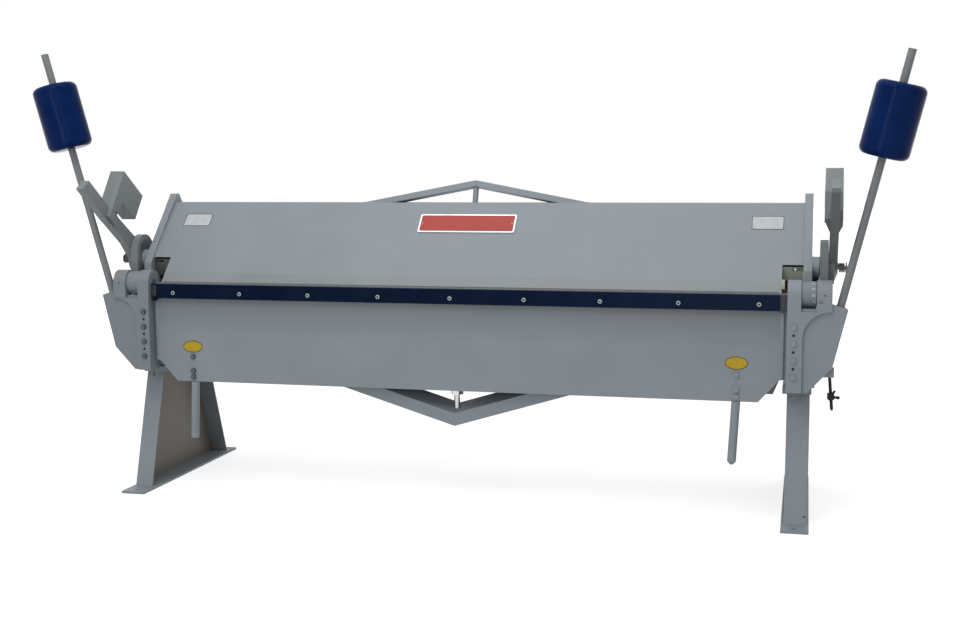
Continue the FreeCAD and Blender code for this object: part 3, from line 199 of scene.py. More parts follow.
def glossEnamel(name, colour, roughness, shine, peel, tint=None):
    # gloss enamel on turned or drawn steel: deep colour with a soft reflection
    material, tree = newMaterial(name)
    place = addNode(tree, "ShaderNodeTexCoord").outputs["Object"]
    wave = addNode(tree, "ShaderNodeTexNoise", {"Scale": perMetre(glossLook["waveMm"]), "Detail": 2.0},
                   {"Vector": place}).outputs[0]
    film = addNode(tree, "ShaderNodeTexNoise", {"Scale": perMetre(glossLook["filmMm"]), "Detail": 3.0},
                   {"Vector": place}).outputs[0]
    base = hexLinear(colour)
    lighter = shaded(base, glossLook["lighter"], glossLook["lift"])
    patches = addNode(tree, "ShaderNodeMapRange", {"From Min": 0.4, "From Max": 0.7}, {"Value": film})
    tone = addNode(tree, "ShaderNodeMix", {"data_type": "RGBA", mixA: base, mixB: lighter},
                   {"Factor": patches.outputs[0]}).outputs[mixOut]
    if tint:
        tone = tinted(tree, place, tone, tint)
    rough = addNode(tree, "ShaderNodeMapRange", {"From Min": 0.3, "From Max": 0.7,
                    "To Min": roughness - 0.04, "To Max": roughness + 0.06}, {"Value": film})
    bump = addNode(tree, "ShaderNodeBump", {"Strength": peel, "Distance": glossLook["waveDepth"]},
                   {"Height": wave})
    shader = addNode(tree, "ShaderNodeBsdfPrincipled",
                     {"Metallic": 0.0, "IOR": 1.45, "Specular IOR Level": shine},
                     {"Base Color": tone, "Roughness": rough.outputs[0], "Normal": bump.outputs[0]})
    addNode(tree, "ShaderNodeOutputMaterial", links={"Surface": shader.outputs[0]})
    return material


metalLook = {"darker": 0.8, "stainMm": 60.0, "stainMost": 0.5, "grainDepth": 0.00006}


def bareMetal(name, colour, roughness, grainMm, stain="", tint=None):
    # bare or plated steel: metallic, with the fine lines or grain that its last tool left
    material, tree = newMaterial(name)
    place = addNode(tree, "ShaderNodeTexCoord").outputs["Object"]
    stretch = addNode(tree, "ShaderNodeMapping", {"Scale": tuple(perMetre(mm) for mm in grainMm)},
                      {"Vector": place}).outputs[0]
    grain = addNode(tree, "ShaderNodeTexNoise", {"Scale": 1.0, "Detail": 3.0}, {"Vector": stretch}).outputs[0]
    patch = addNode(tree, "ShaderNodeTexNoise", {"Scale": perMetre(metalLook["stainMm"]), "Detail": 4.0},
                    {"Vector": place}).outputs[0]
    base = hexLinear(colour)
    lines = addNode(tree, "ShaderNodeMapRange", {"From Min": 0.35, "From Max": 0.6}, {"Value": grain})
    tone = addNode(tree, "ShaderNodeMix",
                   {"data_type": "RGBA", mixA: shaded(base, metalLook["darker"]), mixB: base},
                   {"Factor": lines.outputs[0]}).outputs[mixOut]
    if stain:
        spots = addNode(tree, "ShaderNodeMapRange",
                        {"From Min": 0.5, "From Max": 0.75, "To Max": metalLook["stainMost"]},
                        {"Value": patch})
        tone = addNode(tree, "ShaderNodeMix", {"data_type": "RGBA", mixB: hexLinear(stain)},
                       {"Factor": spots.outputs[0], mixA: tone}).outputs[mixOut]
    if tint:
        tone = tinted(tree, place, tone, tint)
    rough = addNode(tree, "ShaderNodeMapRange", {"From Min": 0.3, "From Max": 0.7,
                    "To Min": roughness - 0.05, "To Max": roughness + 0.08}, {"Value": patch})
    bump = addNode(tree, "ShaderNodeBump", {"Strength": 0.4, "Distance": metalLook["grainDepth"]},
                   {"Height": grain})
    shader = addNode(tree, "ShaderNodeBsdfPrincipled", {"Metallic": 1.0},
                     {"Base Color": tone, "Roughness": rough.outputs[0], "Normal": bump.outputs[0]})
    addNode(tree, "ShaderNodeOutputMaterial", links={"Surface": shader.outputs[0]})
    return material


coatLook = {"soilMm": 25.0, "darker": 0.86}


def plainCoat(name, colour, roughness, grainMm=1.2, depth=0.00005, ior=1.46):
    # printed vinyl, rubber or filled marks: matt, with a fine grain
    material, tree = newMaterial(name)
    place = addNode(tree, "ShaderNodeTexCoord").outputs["Object"]
    grain = addNode(tree, "ShaderNodeTexNoise", {"Scale": perMetre(grainMm), "Detail": 2.0},
                    {"Vector": place}).outputs[0]
    soil = addNode(tree, "ShaderNodeTexNoise", {"Scale": perMetre(coatLook["soilMm"]), "Detail": 4.0},
                   {"Vector": place}).outputs[0]
    base = hexLinear(colour)
    patches = addNode(tree, "ShaderNodeMapRange", {"From Min": 0.45, "From Max": 0.75}, {"Value": soil})
    tone = addNode(tree, "ShaderNodeMix",
                   {"data_type": "RGBA", mixA: base, mixB: shaded(base, coatLook["darker"])},
                   {"Factor": patches.outputs[0]}).outputs[mixOut]
    rough = addNode(tree, "ShaderNodeMapRange", {"From Min": 0.3, "From Max": 0.7,
                    "To Min": roughness - 0.04, "To Max": roughness + 0.06}, {"Value": grain})
    bump = addNode(tree, "ShaderNodeBump", {"Strength": 0.3, "Distance": depth}, {"Height": grain})
    shader = addNode(tree, "ShaderNodeBsdfPrincipled", {"Metallic": 0.0, "IOR": ior},
                     {"Base Color": tone, "Roughness": rough.outputs[0], "Normal": bump.outputs[0]})
    addNode(tree, "ShaderNodeOutputMaterial", links={"Surface": shader.outputs[0]})
    return material


# Where a tint begins and where it is full: close together, they mark off one part of a piece
# the left half, darkened as painted shade on the castings, guide blocks and screw heads
shadedLeftHalf = {"axis": "X", "start": 0.01, "end": -0.01}
shadedInsideFaces = {"axis": "facing", "start": -0.5, "end": -0.9}  # faces that look at the machine's middle
spacers = {"axis": "Z", "start": 0.8045, "end": 0.8050}  # the end blocks' upper parts, beside the bar
shadeTowardsBar = {"axis": "Z", "start": 0.66, "end": 0.80}
shadedLeverArm = {"axis": "Z", "start": 1.262, "end": 1.254}  # all of the lever below its upper end
barRight = {"axis": "X", "start": 0.3, "end": 1.2}
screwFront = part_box("bar_screws")[0].y
shadeInSockets = {"axis": "Y", "start": screwFront + 0.0010, "end": screwFront + 0.0014}

plateEnamel = greyEnamel("greyMachineEnamelOnPlate", "868F96", 0.46)
# painted shade: the castings on the left are darker, as that side lies more in shade
castEnamel = greyEnamel("greyMachineEnamelOnCastingPaintedShadeLeft", "868F98", 0.48, castMm=5.0,
                        tint={"colour": "7C848B", **shadedLeftHalf})
frameEnamel = greyEnamel("greyMachineEnamelOnSideFrames", "7A8289", 0.48, castMm=5.0)
# painted shade: the legs' inner faces are darker and browner, where shade falls inside them
legEnamel = greyEnamel("greyEnamelOnLegsPaintedShadeInside", "868F96", 0.46,
                       tint={"colour": "767069", **shadedInsideFaces})
blockEnamel = greyEnamel("greyEnamelOnEndBlocks", "868F98", 0.50, tint={"colour": "1D2025", **spacers})
# painted shade: the apron darkens upwards towards the bar, as in the bar's shadow
apronEnamel = greyEnamel("greyEnamelOnApronPaintedShadeBelowTheBar", "868F96", 0.46,
                         tint={"colour": "72797F", **shadeTowardsBar})
# painted shade: the left guide block is darker, as it lies in the beam's shadow
guideEnamel = greyEnamel("oiledGreenGreyGuidesPaintedShadeLeft", "7C8376", 0.38, tint={"colour": "3A403E", **shadedLeftHalf})
noseEnamel = greyEnamel("greyEnamelOnNose", "838A8C", 0.42)
leverEnamel = greyEnamel("greyEnamelOnCastLevers", "7E8587", 0.52, castMm=4.0)
# painted shade: the right lever's arm is darker, as it lies in shade below its head
rightLeverEnamel = greyEnamel("greyEnamelOnRightLeverPaintedShadeOnArm", "7E8587", 0.52, castMm=4.0,
                              tint={"colour": "5F6466", **shadedLeverArm})
# painted shade: the right link is a darker copy of the left link's enamel, as it lies in shade
rightLinkEnamel = greyEnamel("greyEnamelOnRightLinkPaintedShade", "6E7578", 0.52, castMm=4.0)
# painted shade: the screw heads on the left are darker, as that side lies more in shade
screwEnamel = greyEnamel("greyEnamelOverScrewHeadsPaintedShadeLeft", "878F95", 0.38, tint={"colour": "4C5456", **shadedLeftHalf})
rodEnamel = greyEnamel("thinGreyEnamelOnRods", "7B7E82", 0.50)
barEnamel = glossEnamel("darkBlueEnamelOnBar", "06142D", 0.42, shine=0.04, peel=0.12,
                        tint={"colour": "18233A", **barRight})
weightEnamel = glossEnamel("navyGlossEnamelOnWeights", "032052", 0.20, shine=0.05, peel=0.02)
zincPlate = bareMetal("brightZincPlate", "C6C9CC", 0.34, (1.5, 1.5, 1.5))
groundSteel = bareMetal("groundSteelOiled", "8F938E", 0.42, (30.0, 0.8, 0.8), stain="62655B")
# painted shade: the bar screws are dark behind their front faces, where shade falls in the sockets and round
# the heads
socketZinc = bareMetal("dullZincPlatePaintedShadeInSockets", "8B9896", 0.42, (1.5, 1.5, 1.5),
                       tint={"colour": "2E3231", **shadeInSockets})
adjusterSteel = bareMetal("oiledScrewSteel", "5F6664", 0.40, (1.2, 1.2, 1.2))
drawnSteel = bareMetal("coldDrawnSteel", "8E9297", 0.45, (1.2, 1.2, 60.0), stain="6C6C68")
# black oxide on real parts, and black as painted shade on the dowels, the left guide screw and the bush tabs
blackOxideAndShade = bareMetal("blackOxideSteelAndPaintedShade", "2A2A2C", 0.45, (1.0, 1.0, 1.0))
springSteel = bareMetal("oiledSpringSteel", "6A6964", 0.38, (0.6, 0.6, 0.6))
brushedAluminium = bareMetal("brushedAluminiumFrame", "D4D6D8", 0.34, (25.0, 0.7, 0.7))
signRed = plainCoat("redSignEnamel", "A82B16", 0.35)
labelWhite = plainCoat("greyWhiteVinylLabel", "C2C5C8", 0.42)
labelYellow = plainCoat("yellowVinylLabel", "B89A08", 0.42)
darkPrint = plainCoat("darkPrintedEdge", "2B2C2B", 0.5)
blackRubberAndShade = plainCoat("blackRubberAndPaintedShadePad", "0B0B0B", 0.8, grainMm=2.0, depth=0.0001, ior=1.2)
paleFill = plainCoat("wornPaintInTickMarks", "9EA4A8", 0.5)
whiteFill = plainCoat("whitePaintInEngraving", "D8DADB", 0.5)
darkFill = plainCoat("darkPaintInEngraving", "2E3133", 0.5)
# painted shade for the gap at the nose's foot
noseGapShade = plainCoat("paintedShadeInNoseGap", "4A504E", 0.45)
creamStrip = plainCoat("creamNylonStrip", "D2C6B4", 0.5)
brownSteel = bareMetal("brownedSteelBlock", "4A3C33", 0.5, (2.0, 2.0, 2.0), stain="2A2320")
print("materials made")

finishes = [
    (plateEnamel, ["base_plates", "cap_plates", "bed_front_plate", "bed_top_plate",
                   "bed_rear_plate", "bed_bottom_plate", "bed_truss_bars", "grab_handles",
                   "beam_front_plate", "beam_top_plate", "beam_rear_plate", "beam_bottom_plate",
                   "cheek_left", "cheek_right", "beam_truss_bars", "beam_truss_post"]),
    (castEnamel, ["hinge_casting_left", "hinge_casting_right", "stop_bracket", "shaft_bushes"]),
    (frameEnamel, ["side_frame_left", "side_frame_right"]),
    (legEnamel, ["leg_left", "leg_right"]),
    (apronEnamel, ["apron_plate"]),
    (blockEnamel, ["end_blocks"]),
    (guideEnamel, ["guide_blocks"]),
    (noseEnamel, ["nose_blade", "nose_holder"]),
    (leverEnamel, ["clamp_lever_left", "link_left"]),
    (rightLeverEnamel, ["clamp_lever_right"]),
    (rightLinkEnamel, ["link_right"]),
    (screwEnamel, ["apron_screws"]),
    (rodEnamel, ["counterweight_rods"]),
    (barEnamel, ["folding_bar"]),
    (weightEnamel, ["counterweight_left", "counterweight_right"]),
    (zincPlate, ["frame_bolts", "bed_truss_jack"]),
    (socketZinc, ["bar_screws"]),
    (adjusterSteel, ["set_screws"]),
    (groundSteel, ["bed_jaw", "link_pins", "eccentric_shaft_left", "eccentric_shaft_right"]),
    (drawnSteel, ["hinge_pins"]),
    # the casting dowels are black as painted shade of the holes round them
    (blackOxideAndShade, ["casting_dowels", "weight_screw_left", "weight_screw_right", "stop_rod", "stop_collar",
                  "stop_lever"]),
    (springSteel, ["lever_spring_left", "lever_spring_right", "lever_nut_left", "lever_nut_right"]),
    (brushedAluminium, ["name_plate"]),
    (labelWhite, ["label_plates"]),
    (labelYellow, ["oval_plates"]),
]
for material, names in finishes:
    for name in names:
        for slot in nodes[name].material_slots:
            slot.material = material
        if not nodes[name].material_slots:
            nodes[name].data.materials.append(material)
print("finishes on the CAD parts")


# Places on the machine that several pieces are set from

joints = {joint["name"]: joint for joint in frame["record"]["behaviour"]["joints"]}
hinge = Vector((0, *joints["apron_swing"]["pos_m"][1:]))
shaftMiddle = Vector((0, *joints["lever_right_turn"]["pos_m"][1:]))
bedTop = hinge.z
faceLean = math.radians(43.5)  # beam's face, from upright
faceSetback = 0.019  # beam's face behind the hinge axis, at the axis's height
faceUp = Vector((0, math.sin(faceLean), math.cos(faceLean)))
faceOut = Vector((0, -math.cos(faceLean), math.sin(faceLean)))
faceFoot = hinge + Vector((0, faceSetback, 0))


def onFace(x, along, out):  # along the beam's face from its foot, and out from it
    return Vector((x, 0, 0)) + faceFoot + faceUp * along + faceOut * out


# The sign, the labels and the ovals: blank fields in plain frames

def roundedOutline(x0, x1, y0, y1, radius, steps=5):
    points = []
    for cx, cy, start in ((x1 - radius, y1 - radius, 0), (x0 + radius, y1 - radius, 90),
                          (x0 + radius, y0 + radius, 180), (x1 - radius, y0 + radius, 270)):
        for i in range(steps + 1):
            angle = math.radians(start + 90 * i / steps)
            points.append((cx + radius * math.cos(angle), cy + radius * math.sin(angle)))
    return points


def faceRings(bm, layers):  # one ring of vertices for each outline and its distance out from the face
    return [[bm.verts.new(onFace(x, along, out)) for x, along in outline] for outline, out in layers]


sign = {"halfWidth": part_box("name_plate")[1].x, "start": 0.2865, "length": 0.0975, "thickness": 0.005,
        "border": 0.0065, "corner": 0.004, "sunk": 0.0004, "proud": 0.0006}
rivet = {"radius": 0.0030, "crown": 0.55, "height": 0.0022, "inset": 0.014, "sides": 16}
top = sign["thickness"]
edge = sign["border"]
field = roundedOutline(-sign["halfWidth"] + edge, sign["halfWidth"] - edge, sign["start"] + edge,
                       sign["start"] + sign["length"] - edge, sign["corner"])
red = bmesh.new()
skinRings(red, faceRings(red, ((field, top - sign["sunk"]), (field, top + sign["proud"]))))
bmeshPiece("sign_red_field", red, signRed, "beam")
rivets = bmesh.new()
middle = sign["start"] + sign["length"] / 2
for side in (-1, 1):
    x = side * (sign["halfWidth"] - rivet["inset"])
    addPrism(rivets, onFace(x, middle, top), onFace(x, middle, top + rivet["height"]), rivet["radius"],
             rivet["sides"], topRadius=rivet["radius"] * rivet["crown"])
bmeshPiece("sign_rivets", rivets, brushedAluminium, "beam")

label = {"outer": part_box("label_plates")[1].x, "width": 0.1245, "start": 0.3147, "length": 0.0702,
         "thickness": 0.001, "inset": 0.0004, "outerCorner": 0.0056, "rim": 0.0030, "innerCorner": 0.0045,
         "halfDepth": 0.0003}
for side, sideName in bothSides:
    x0, x1 = sorted((side * label["outer"], side * (label["outer"] - label["width"])))
    y0, y1 = label["start"], label["start"] + label["length"]
    inset, rim = label["inset"], label["rim"]
    outer = roundedOutline(x0 + inset, x1 - inset, y0 + inset, y1 - inset, label["outerCorner"])
    inner = roundedOutline(x0 + rim, x1 - rim, y0 + rim, y1 - rim, label["innerCorner"])
    low, high = label["thickness"] - label["halfDepth"], label["thickness"] + label["halfDepth"]
    ring = bmesh.new()
    skinRings(ring, faceRings(ring, ((outer, low), (outer, high), (inner, high), (inner, low))), closed=True)
    bmeshPiece("label_edge_" + sideName, ring, darkPrint, "beam")

ovalLow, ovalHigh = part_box("oval_plates")
oval = {"z": (ovalLow.z + ovalHigh.z) / 2, "halfWidth": 0.0435, "halfHeight": (ovalHigh.z - ovalLow.z) / 2,
        "front": ovalLow.y, "inset": 0.0003, "rim": 0.0030, "halfDepth": 0.0003, "points": 64}
for ovalX, sideName in ((ovalLow.x + oval["halfWidth"], "left"), (ovalHigh.x - oval["halfWidth"], "right")):
    rim = bmesh.new()
    back, front = oval["front"] + oval["halfDepth"], oval["front"] - oval["halfDepth"]
    rings = []
    for inset, y in ((oval["inset"], back), (oval["inset"], front),
                     (oval["rim"], front), (oval["rim"], back)):
        ring = []
        for i in range(oval["points"]):
            angle = 2 * math.pi * i / oval["points"]
            x = ovalX + (oval["halfWidth"] - inset) * math.cos(angle)
            z = oval["z"] + (oval["halfHeight"] - inset) * math.sin(angle)
            ring.append(rim.verts.new((x, y, z)))
        rings.append(ring)
    skinRings(rim, rings, closed=True)
    bmeshPiece("oval_edge_" + sideName, rim, darkPrint, "apron")
print("sign, labels and ovals done")


# Degree scale on the right-hand barrel, and its pointer on the casting's outer lug

scale = {"radius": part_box("side_frame_right")[1].z - hinge.z, "edge": 1.4062, "zeroDeg": -31.0, "last": 135,
         "step": 15, "tick": 0.0035, "width": 0.0009, "sunk": 0.0004, "proud": 0.0003}
figures = {"step": 30, "height": 0.0095, "sizePerHeight": 1.35, "gap": 0.0040, "halfDepth": 0.0003}


def onBarrel(x, degrees, out):  # degrees up from the front of the barrel
    angle = math.radians(degrees)
    reach = scale["radius"] + out
    return Vector((x, hinge.y - reach * math.cos(angle), hinge.z + reach * math.sin(angle)))


ticks = bmesh.new()
tickStart = scale["edge"] - scale["tick"]
halfTurn = math.degrees(scale["width"] / 2 / scale["radius"])
tickCorners = ((tickStart, -halfTurn), (scale["edge"], -halfTurn), (scale["edge"], halfTurn),
               (tickStart, halfTurn))
for reading in range(0, scale["last"] + 1, scale["step"]):
    middle = scale["zeroDeg"] + reading
    skinRings(ticks, [[ticks.verts.new(onBarrel(x, middle + turn, out)) for x, turn in tickCorners]
                      for out in (-scale["sunk"], scale["proud"])])
bmeshPiece("degree_scale_ticks", ticks, paleFill, "stand")

for reading in range(0, scale["last"] + 1, figures["step"]):
    text = bpy.data.curves.new("degree_%d" % reading, "FONT")
    text.body = str(reading)
    text.size = figures["height"] * figures["sizePerHeight"]
    text.extrude = figures["halfDepth"]
    text.align_x = "RIGHT"
    text.align_y = "CENTER"
    holder = bpy.data.objects.new("degree_%d" % reading, text)
    scene.collection.objects.link(holder)
    bpy.context.view_layer.update()
    depsgraph = bpy.context.evaluated_depsgraph_get()
    flat = bpy.data.meshes.new_from_object(holder.evaluated_get(depsgraph))
    bpy.data.objects.remove(holder)
    for vertex in flat.vertices:  # wrap the flat number round the barrel
        turn = math.degrees(vertex.co.y / scale["radius"])
        x = scale["edge"] - figures["gap"] + vertex.co.x
        vertex.co = onBarrel(x, scale["zeroDeg"] + reading + turn, vertex.co.z)
    number = bpy.data.objects.new("degree_number_%d" % reading, flat)
    scene.collection.objects.link(number)
    flat.materials.clear()
    flat.materials.append(whiteFill)
    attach(number, "stand")

pointer = {"inner": 1.4162, "outer": 1.4310, "heights": (0.8548, 0.8478), "width": 0.0021, "front": -0.3482,
           "proud": 0.0004, "sunk": 0.0005}
marks = bmesh.new()
for z in pointer["heights"]:
    addBox(marks, (pointer["inner"], pointer["front"] - pointer["proud"], z - pointer["width"] / 2),
           (pointer["outer"], pointer["front"] + pointer["sunk"], z + pointer["width"] / 2))
bmeshPiece("scale_pointer_marks", marks, darkFill, "apron")
print("degree scale done")


# Weld beads

bead = {"pitch": 0.006, "valley": 0.86, "tip": 0.4, "sides": 8, "legRadius": 0.0035, "beamRadius": 0.003,
        "apexRadius": 0.0025, "flangeGap": 0.004, "webGap": 0.006}  # gaps at the legs' bends


def weldBead(bm, start, end, radius):  # straight rippled bead with drawn-in tips
    start, end = Vector(start), Vector(end)
    tangent = (end - start).normalized()
    side = tangent.orthogonal().normalized()
    other = tangent.cross(side)
    count = max(2, int((end - start).length / (bead["pitch"] / 2)))
    rings = []
    for i in range(count + 1):
        swell = radius * (1.0 if i % 2 == 0 else bead["valley"])
        if i in (0, count):
            swell *= bead["tip"]
        point = start + (end - start) * (i / count)
        ring = []
        for k in range(bead["sides"]):
            angle = 2 * math.pi * k / bead["sides"]
            ring.append(bm.verts.new(point + (side * math.cos(angle) + other * math.sin(angle)) * swell))
        rings.append(ring)
    skinRings(bm, rings)


webTop = {"front": -0.2110, "rear": 0.2210}  # upper ends of the legs' webs, which narrow upwards
beads = bmesh.new()
for side, sideName in bothSides:
    low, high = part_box("leg_" + sideName)
    inner, outer = (high.x, low.x) if side < 0 else (low.x, high.x)
    flangeEnd = outer - side * bead["flangeGap"]
    for z, front, rear in ((low.z, low.y, high.y), (high.z, webTop["front"], webTop["rear"])):
        for start, end in (((inner, front, z), (flangeEnd, front, z)),
                           ((outer, front + bead["webGap"], z), (outer, rear - bead["webGap"], z)),
                           ((inner, rear, z), (flangeEnd, rear, z))):
            weldBead(beads, start, end, bead["legRadius"])
bmeshPiece("stand_weld_beads", beads, plateEnamel, "stand", smooth=True)

# heights are above the hinge axis
cheek = {"inner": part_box("cheek_right")[0].x, "low": 0.105, "high": 0.3270, "offset": 0.001}
trussLow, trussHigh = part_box("beam_truss_bars")
truss = {"foot": trussLow.z - hinge.z, "apex": trussHigh.z - hinge.z, "reach": trussHigh.x, "face": 0.025,
         "setback": 0.370, "lean": math.radians(17.4), "beadShare": 0.995}


def onTruss(x, up):  # on the truss's leaning front, up from the hinge axis
    return hinge + Vector((x, truss["setback"] + (up - truss["foot"]) * math.tan(truss["lean"]), up))


beads = bmesh.new()
for side in (-1, 1):
    x = side * (cheek["inner"] - cheek["offset"])
    weldBead(beads, onFace(x, cheek["low"] / math.cos(faceLean), cheek["offset"]),
             onFace(x, cheek["high"] / math.cos(faceLean), cheek["offset"]), bead["beamRadius"])
weldBead(beads, onTruss(0, truss["apex"] - truss["face"]), onTruss(0, truss["apex"]), bead["apexRadius"])
footInner = truss["reach"] * (1 - truss["face"] / (truss["apex"] - truss["foot"]))
for side in (-1, 1):
    weldBead(beads, onTruss(side * footInner, truss["foot"]),
             onTruss(side * truss["reach"] * truss["beadShare"], truss["foot"]), bead["beamRadius"])
bmeshPiece("beam_weld_beads", beads, plateEnamel, "beam", smooth=True)
print("weld beads done")


# Small fittings

guideScrew = {"x": 1.3275, "drop": 0.009, "foot": 0.012, "front": 0.003, "radius": 0.0046, "turn": 0.3}
guideLow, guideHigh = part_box("guide_blocks")
# painted shade: the left screw is black where the right one is bright zinc, as the left block lies in shadow
for side, sideName, finish in ((-1, "left", blackOxideAndShade), (1, "right", zincPlate)):
    screws = bmesh.new()
    x, z = side * guideScrew["x"], guideHigh.z - guideScrew["drop"]
    addPrism(screws, (x, guideLow.y + guideScrew["foot"], z), (x, guideLow.y + guideScrew["front"], z),
             guideScrew["radius"], hexagon, turn=guideScrew["turn"])
    bmeshPiece("guide_adjusting_screw_" + sideName, screws, finish, "stand")

# light strip on a block behind the right notch, with a dark pad beside it as painted shade of the gap there,
# and a low dark pad at the left
gauge = {"inner": 1.2816, "middle": 1.2912, "outer": 1.3000, "front": -0.2450, "back": -0.2050,
         "block": 0.0115, "strip": 0.0458, "leftLow": 0.011, "leftHigh": 0.027,  # heights above the bed
         "padInset": 0.002, "blockFront": 0.006, "blockBack": 0.010, "blockBevel": 0.0012}
blockTop, stripTop = bedTop + gauge["block"], bedTop + gauge["strip"]
strip = bmesh.new()
addBox(strip, (gauge["inner"], gauge["front"], blockTop),
       (gauge["middle"], gauge["back"], stripTop), edgeBevel)
bmeshPiece("gauge_strip", strip, creamStrip, "stand")
pads = bmesh.new()
addBox(pads, (gauge["middle"], gauge["front"] + gauge["padInset"], blockTop),
       (gauge["outer"], gauge["back"], stripTop - gauge["padInset"]), edgeBevel)
addBox(pads, (-gauge["outer"], gauge["front"], bedTop + gauge["leftLow"]),
       (-gauge["middle"], gauge["back"], bedTop + gauge["leftHigh"]), edgeBevel)
bmeshPiece("gauge_dark_pads", pads, blackRubberAndShade, "stand")
block = bmesh.new()
addBox(block, (gauge["inner"], gauge["front"] - gauge["blockFront"], bedTop),
       (gauge["outer"], gauge["back"] + gauge["blockBack"], blockTop), gauge["blockBevel"])
bmeshPiece("gauge_block", block, brownSteel, "stand")

# the angle is up from the front of the hub
hubScrew = {"x": 1.4665, "angle": math.radians(-68.0), "radius": 0.0055, "head": 0.007, "root": 0.003,
            "hubRadius": 0.057}
way = Vector((0, -math.cos(hubScrew["angle"]), math.sin(hubScrew["angle"])))
for side, sideName in bothSides:
    hubMiddle = shaftMiddle + Vector((side * hubScrew["x"], 0, 0))
    foot = hubMiddle + way * (hubScrew["hubRadius"] - hubScrew["root"])
    screw = bmesh.new()
    addPrism(screw, foot, foot + way * (hubScrew["head"] + hubScrew["root"]), hubScrew["radius"], hexagon)
    bmeshPiece("hub_set_screw_" + sideName, screw, blackOxideAndShade, "lever_" + sideName)

barLow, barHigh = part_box("folding_bar")
tongue = {"reach": 0.0245, "height": 0.0042, "depth": 0.018}  # thin end of the bar, left only
strip = bmesh.new()
addBox(strip, (barLow.x - tongue["reach"], barLow.y, barHigh.z - tongue["height"]),
       (barLow.x, barLow.y + tongue["depth"], barHigh.z))
bmeshPiece("bar_tongue", strip, barEnamel, "apron")
bumper = {"inner": barLow.x - 0.0005, "outer": barLow.x - 0.0180, "front": -0.3340, "back": -0.3248,
          "low": 0.8020, "high": 0.8215}
pad = bmesh.new()
addBox(pad, (bumper["outer"], bumper["front"], bumper["low"]),
       (bumper["inner"], bumper["back"], bumper["high"]), edgeBevel)
bmeshPiece("bar_end_bumper", pad, blackRubberAndShade, "apron")

# painted shade: a dark strip at the nose's foot, standing for the shadowed gap between nose and jaw, with its
# heights above the hinge axis
seam = {"half": 1.2700, "low": 0.0009, "high": 0.0030, "proud": 0.0004, "sunk": 0.0010}
line = bmesh.new()
section = [(up / math.cos(faceLean), out) for up, out in (
    (seam["low"], -seam["sunk"]), (seam["high"], -seam["sunk"]),
    (seam["high"], seam["proud"]), (seam["low"], seam["proud"]))]
skinRings(line, [[line.verts.new(onFace(x, along, out)) for along, out in section]
                 for x in (-seam["half"], seam["half"])])
bmeshPiece("nose_gap_shade_line", line, noseGapShade, "beam")

# washers in the gaps beside the hinge barrels
washer = {"gaps": ((1.3533, 1.3553), (1.4073, 1.4093)), "slack": 0.0002, "radius": 0.0468, "sides": 48}
discs = bmesh.new()
for side in (-1, 1):
    for low, high in washer["gaps"]:
        addPrism(discs, hinge + Vector((side * (low + washer["slack"]), 0, 0)),
                 hinge + Vector((side * (high - washer["slack"]), 0, 0)), washer["radius"], washer["sides"])
bmeshPiece("hinge_washers", discs, blackOxideAndShade, "stand")

# painted shade: a black tab below each shaft bush, filling the shadowed gap down to the barrel
bushGapShade = {"inner": 1.3905, "outer": 1.4165, "halfDepth": 0.014, "low": 0.9050, "high": 0.9270}
tab = bmesh.new()
for side in (-1, 1):
    x0, x1 = sorted((side * bushGapShade["inner"], side * bushGapShade["outer"]))
    addBox(tab, (x0, shaftMiddle.y - bushGapShade["halfDepth"], bushGapShade["low"]),
           (x1, shaftMiddle.y + bushGapShade["halfDepth"], bushGapShade["high"]), edgeBevel)
bmeshPiece("bush_gap_shade_tabs", tab, blackOxideAndShade, "beam")

plug = {"x": 1.3815, "z": 0.0361, "radius": 0.0042, "depth": 0.002, "proud": 0.0006, "sides": 16}
legLow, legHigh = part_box("leg_right")
legLean = (webTop["front"] - legLow.y) / (legHigh.z - legLow.z)
plugY = legLow.y + (plug["z"] - legLow.z) * legLean
disc = bmesh.new()
addPrism(disc, (plug["x"], plugY + plug["depth"], plug["z"]), (plug["x"], plugY - plug["proud"], plug["z"]),
         plug["radius"], plug["sides"])
bmeshPiece("leg_drain_plug", disc, darkFill, "stand")
print("small fittings done")


# Floor, light and camera

def directRays(tree):  # 1 for camera, glossy and transmission rays, 0 for all others
    path = addNode(tree, "ShaderNodeLightPath")
    seen = path.outputs["Is Camera Ray"]
    for name in ("Is Glossy Ray", "Is Transmission Ray"):
        seen = addNode(tree, "ShaderNodeMath", {"operation": "MAXIMUM"},
                       {0: seen, 1: path.outputs[name]}).outputs[0]
    return seen


floorLook = {"size": 80.0, "dark": "CCCCCA", "light": "D4D4D2", "mottleMm": 900.0, "glowNear": 0.70,
             "nearM": 2.4, "farM": 6.0}
floorMaterial, tree = newMaterial("paleStudioFloor")  # painted concrete: matt, faintly mottled
place = addNode(tree, "ShaderNodeTexCoord").outputs["Object"]
mottle = addNode(tree, "ShaderNodeTexNoise", {"Scale": perMetre(floorLook["mottleMm"]), "Detail": 2.0},
                 {"Vector": place}).outputs[0]
tone = addNode(tree, "ShaderNodeMix", {"data_type": "RGBA", mixA: hexLinear(floorLook["dark"]),
                                       mixB: hexLinear(floorLook["light"])}, {"Factor": mottle})
diffuse = addNode(tree, "ShaderNodeBsdfDiffuse", links={"Color": tone.outputs[mixOut]})
away = addNode(tree, "ShaderNodeVectorMath", {"operation": "LENGTH"}, {0: place}).outputs["Value"]
glowing = addNode(tree, "ShaderNodeMapRange",
                  {"From Min": floorLook["nearM"], "From Max": floorLook["farM"],
                   "To Min": floorLook["glowNear"], "To Max": 1.0}, {"Value": away})
seenGlow = addNode(tree, "ShaderNodeMath", {"operation": "MULTIPLY"},
                   {0: directRays(tree), 1: glowing.outputs[0]})
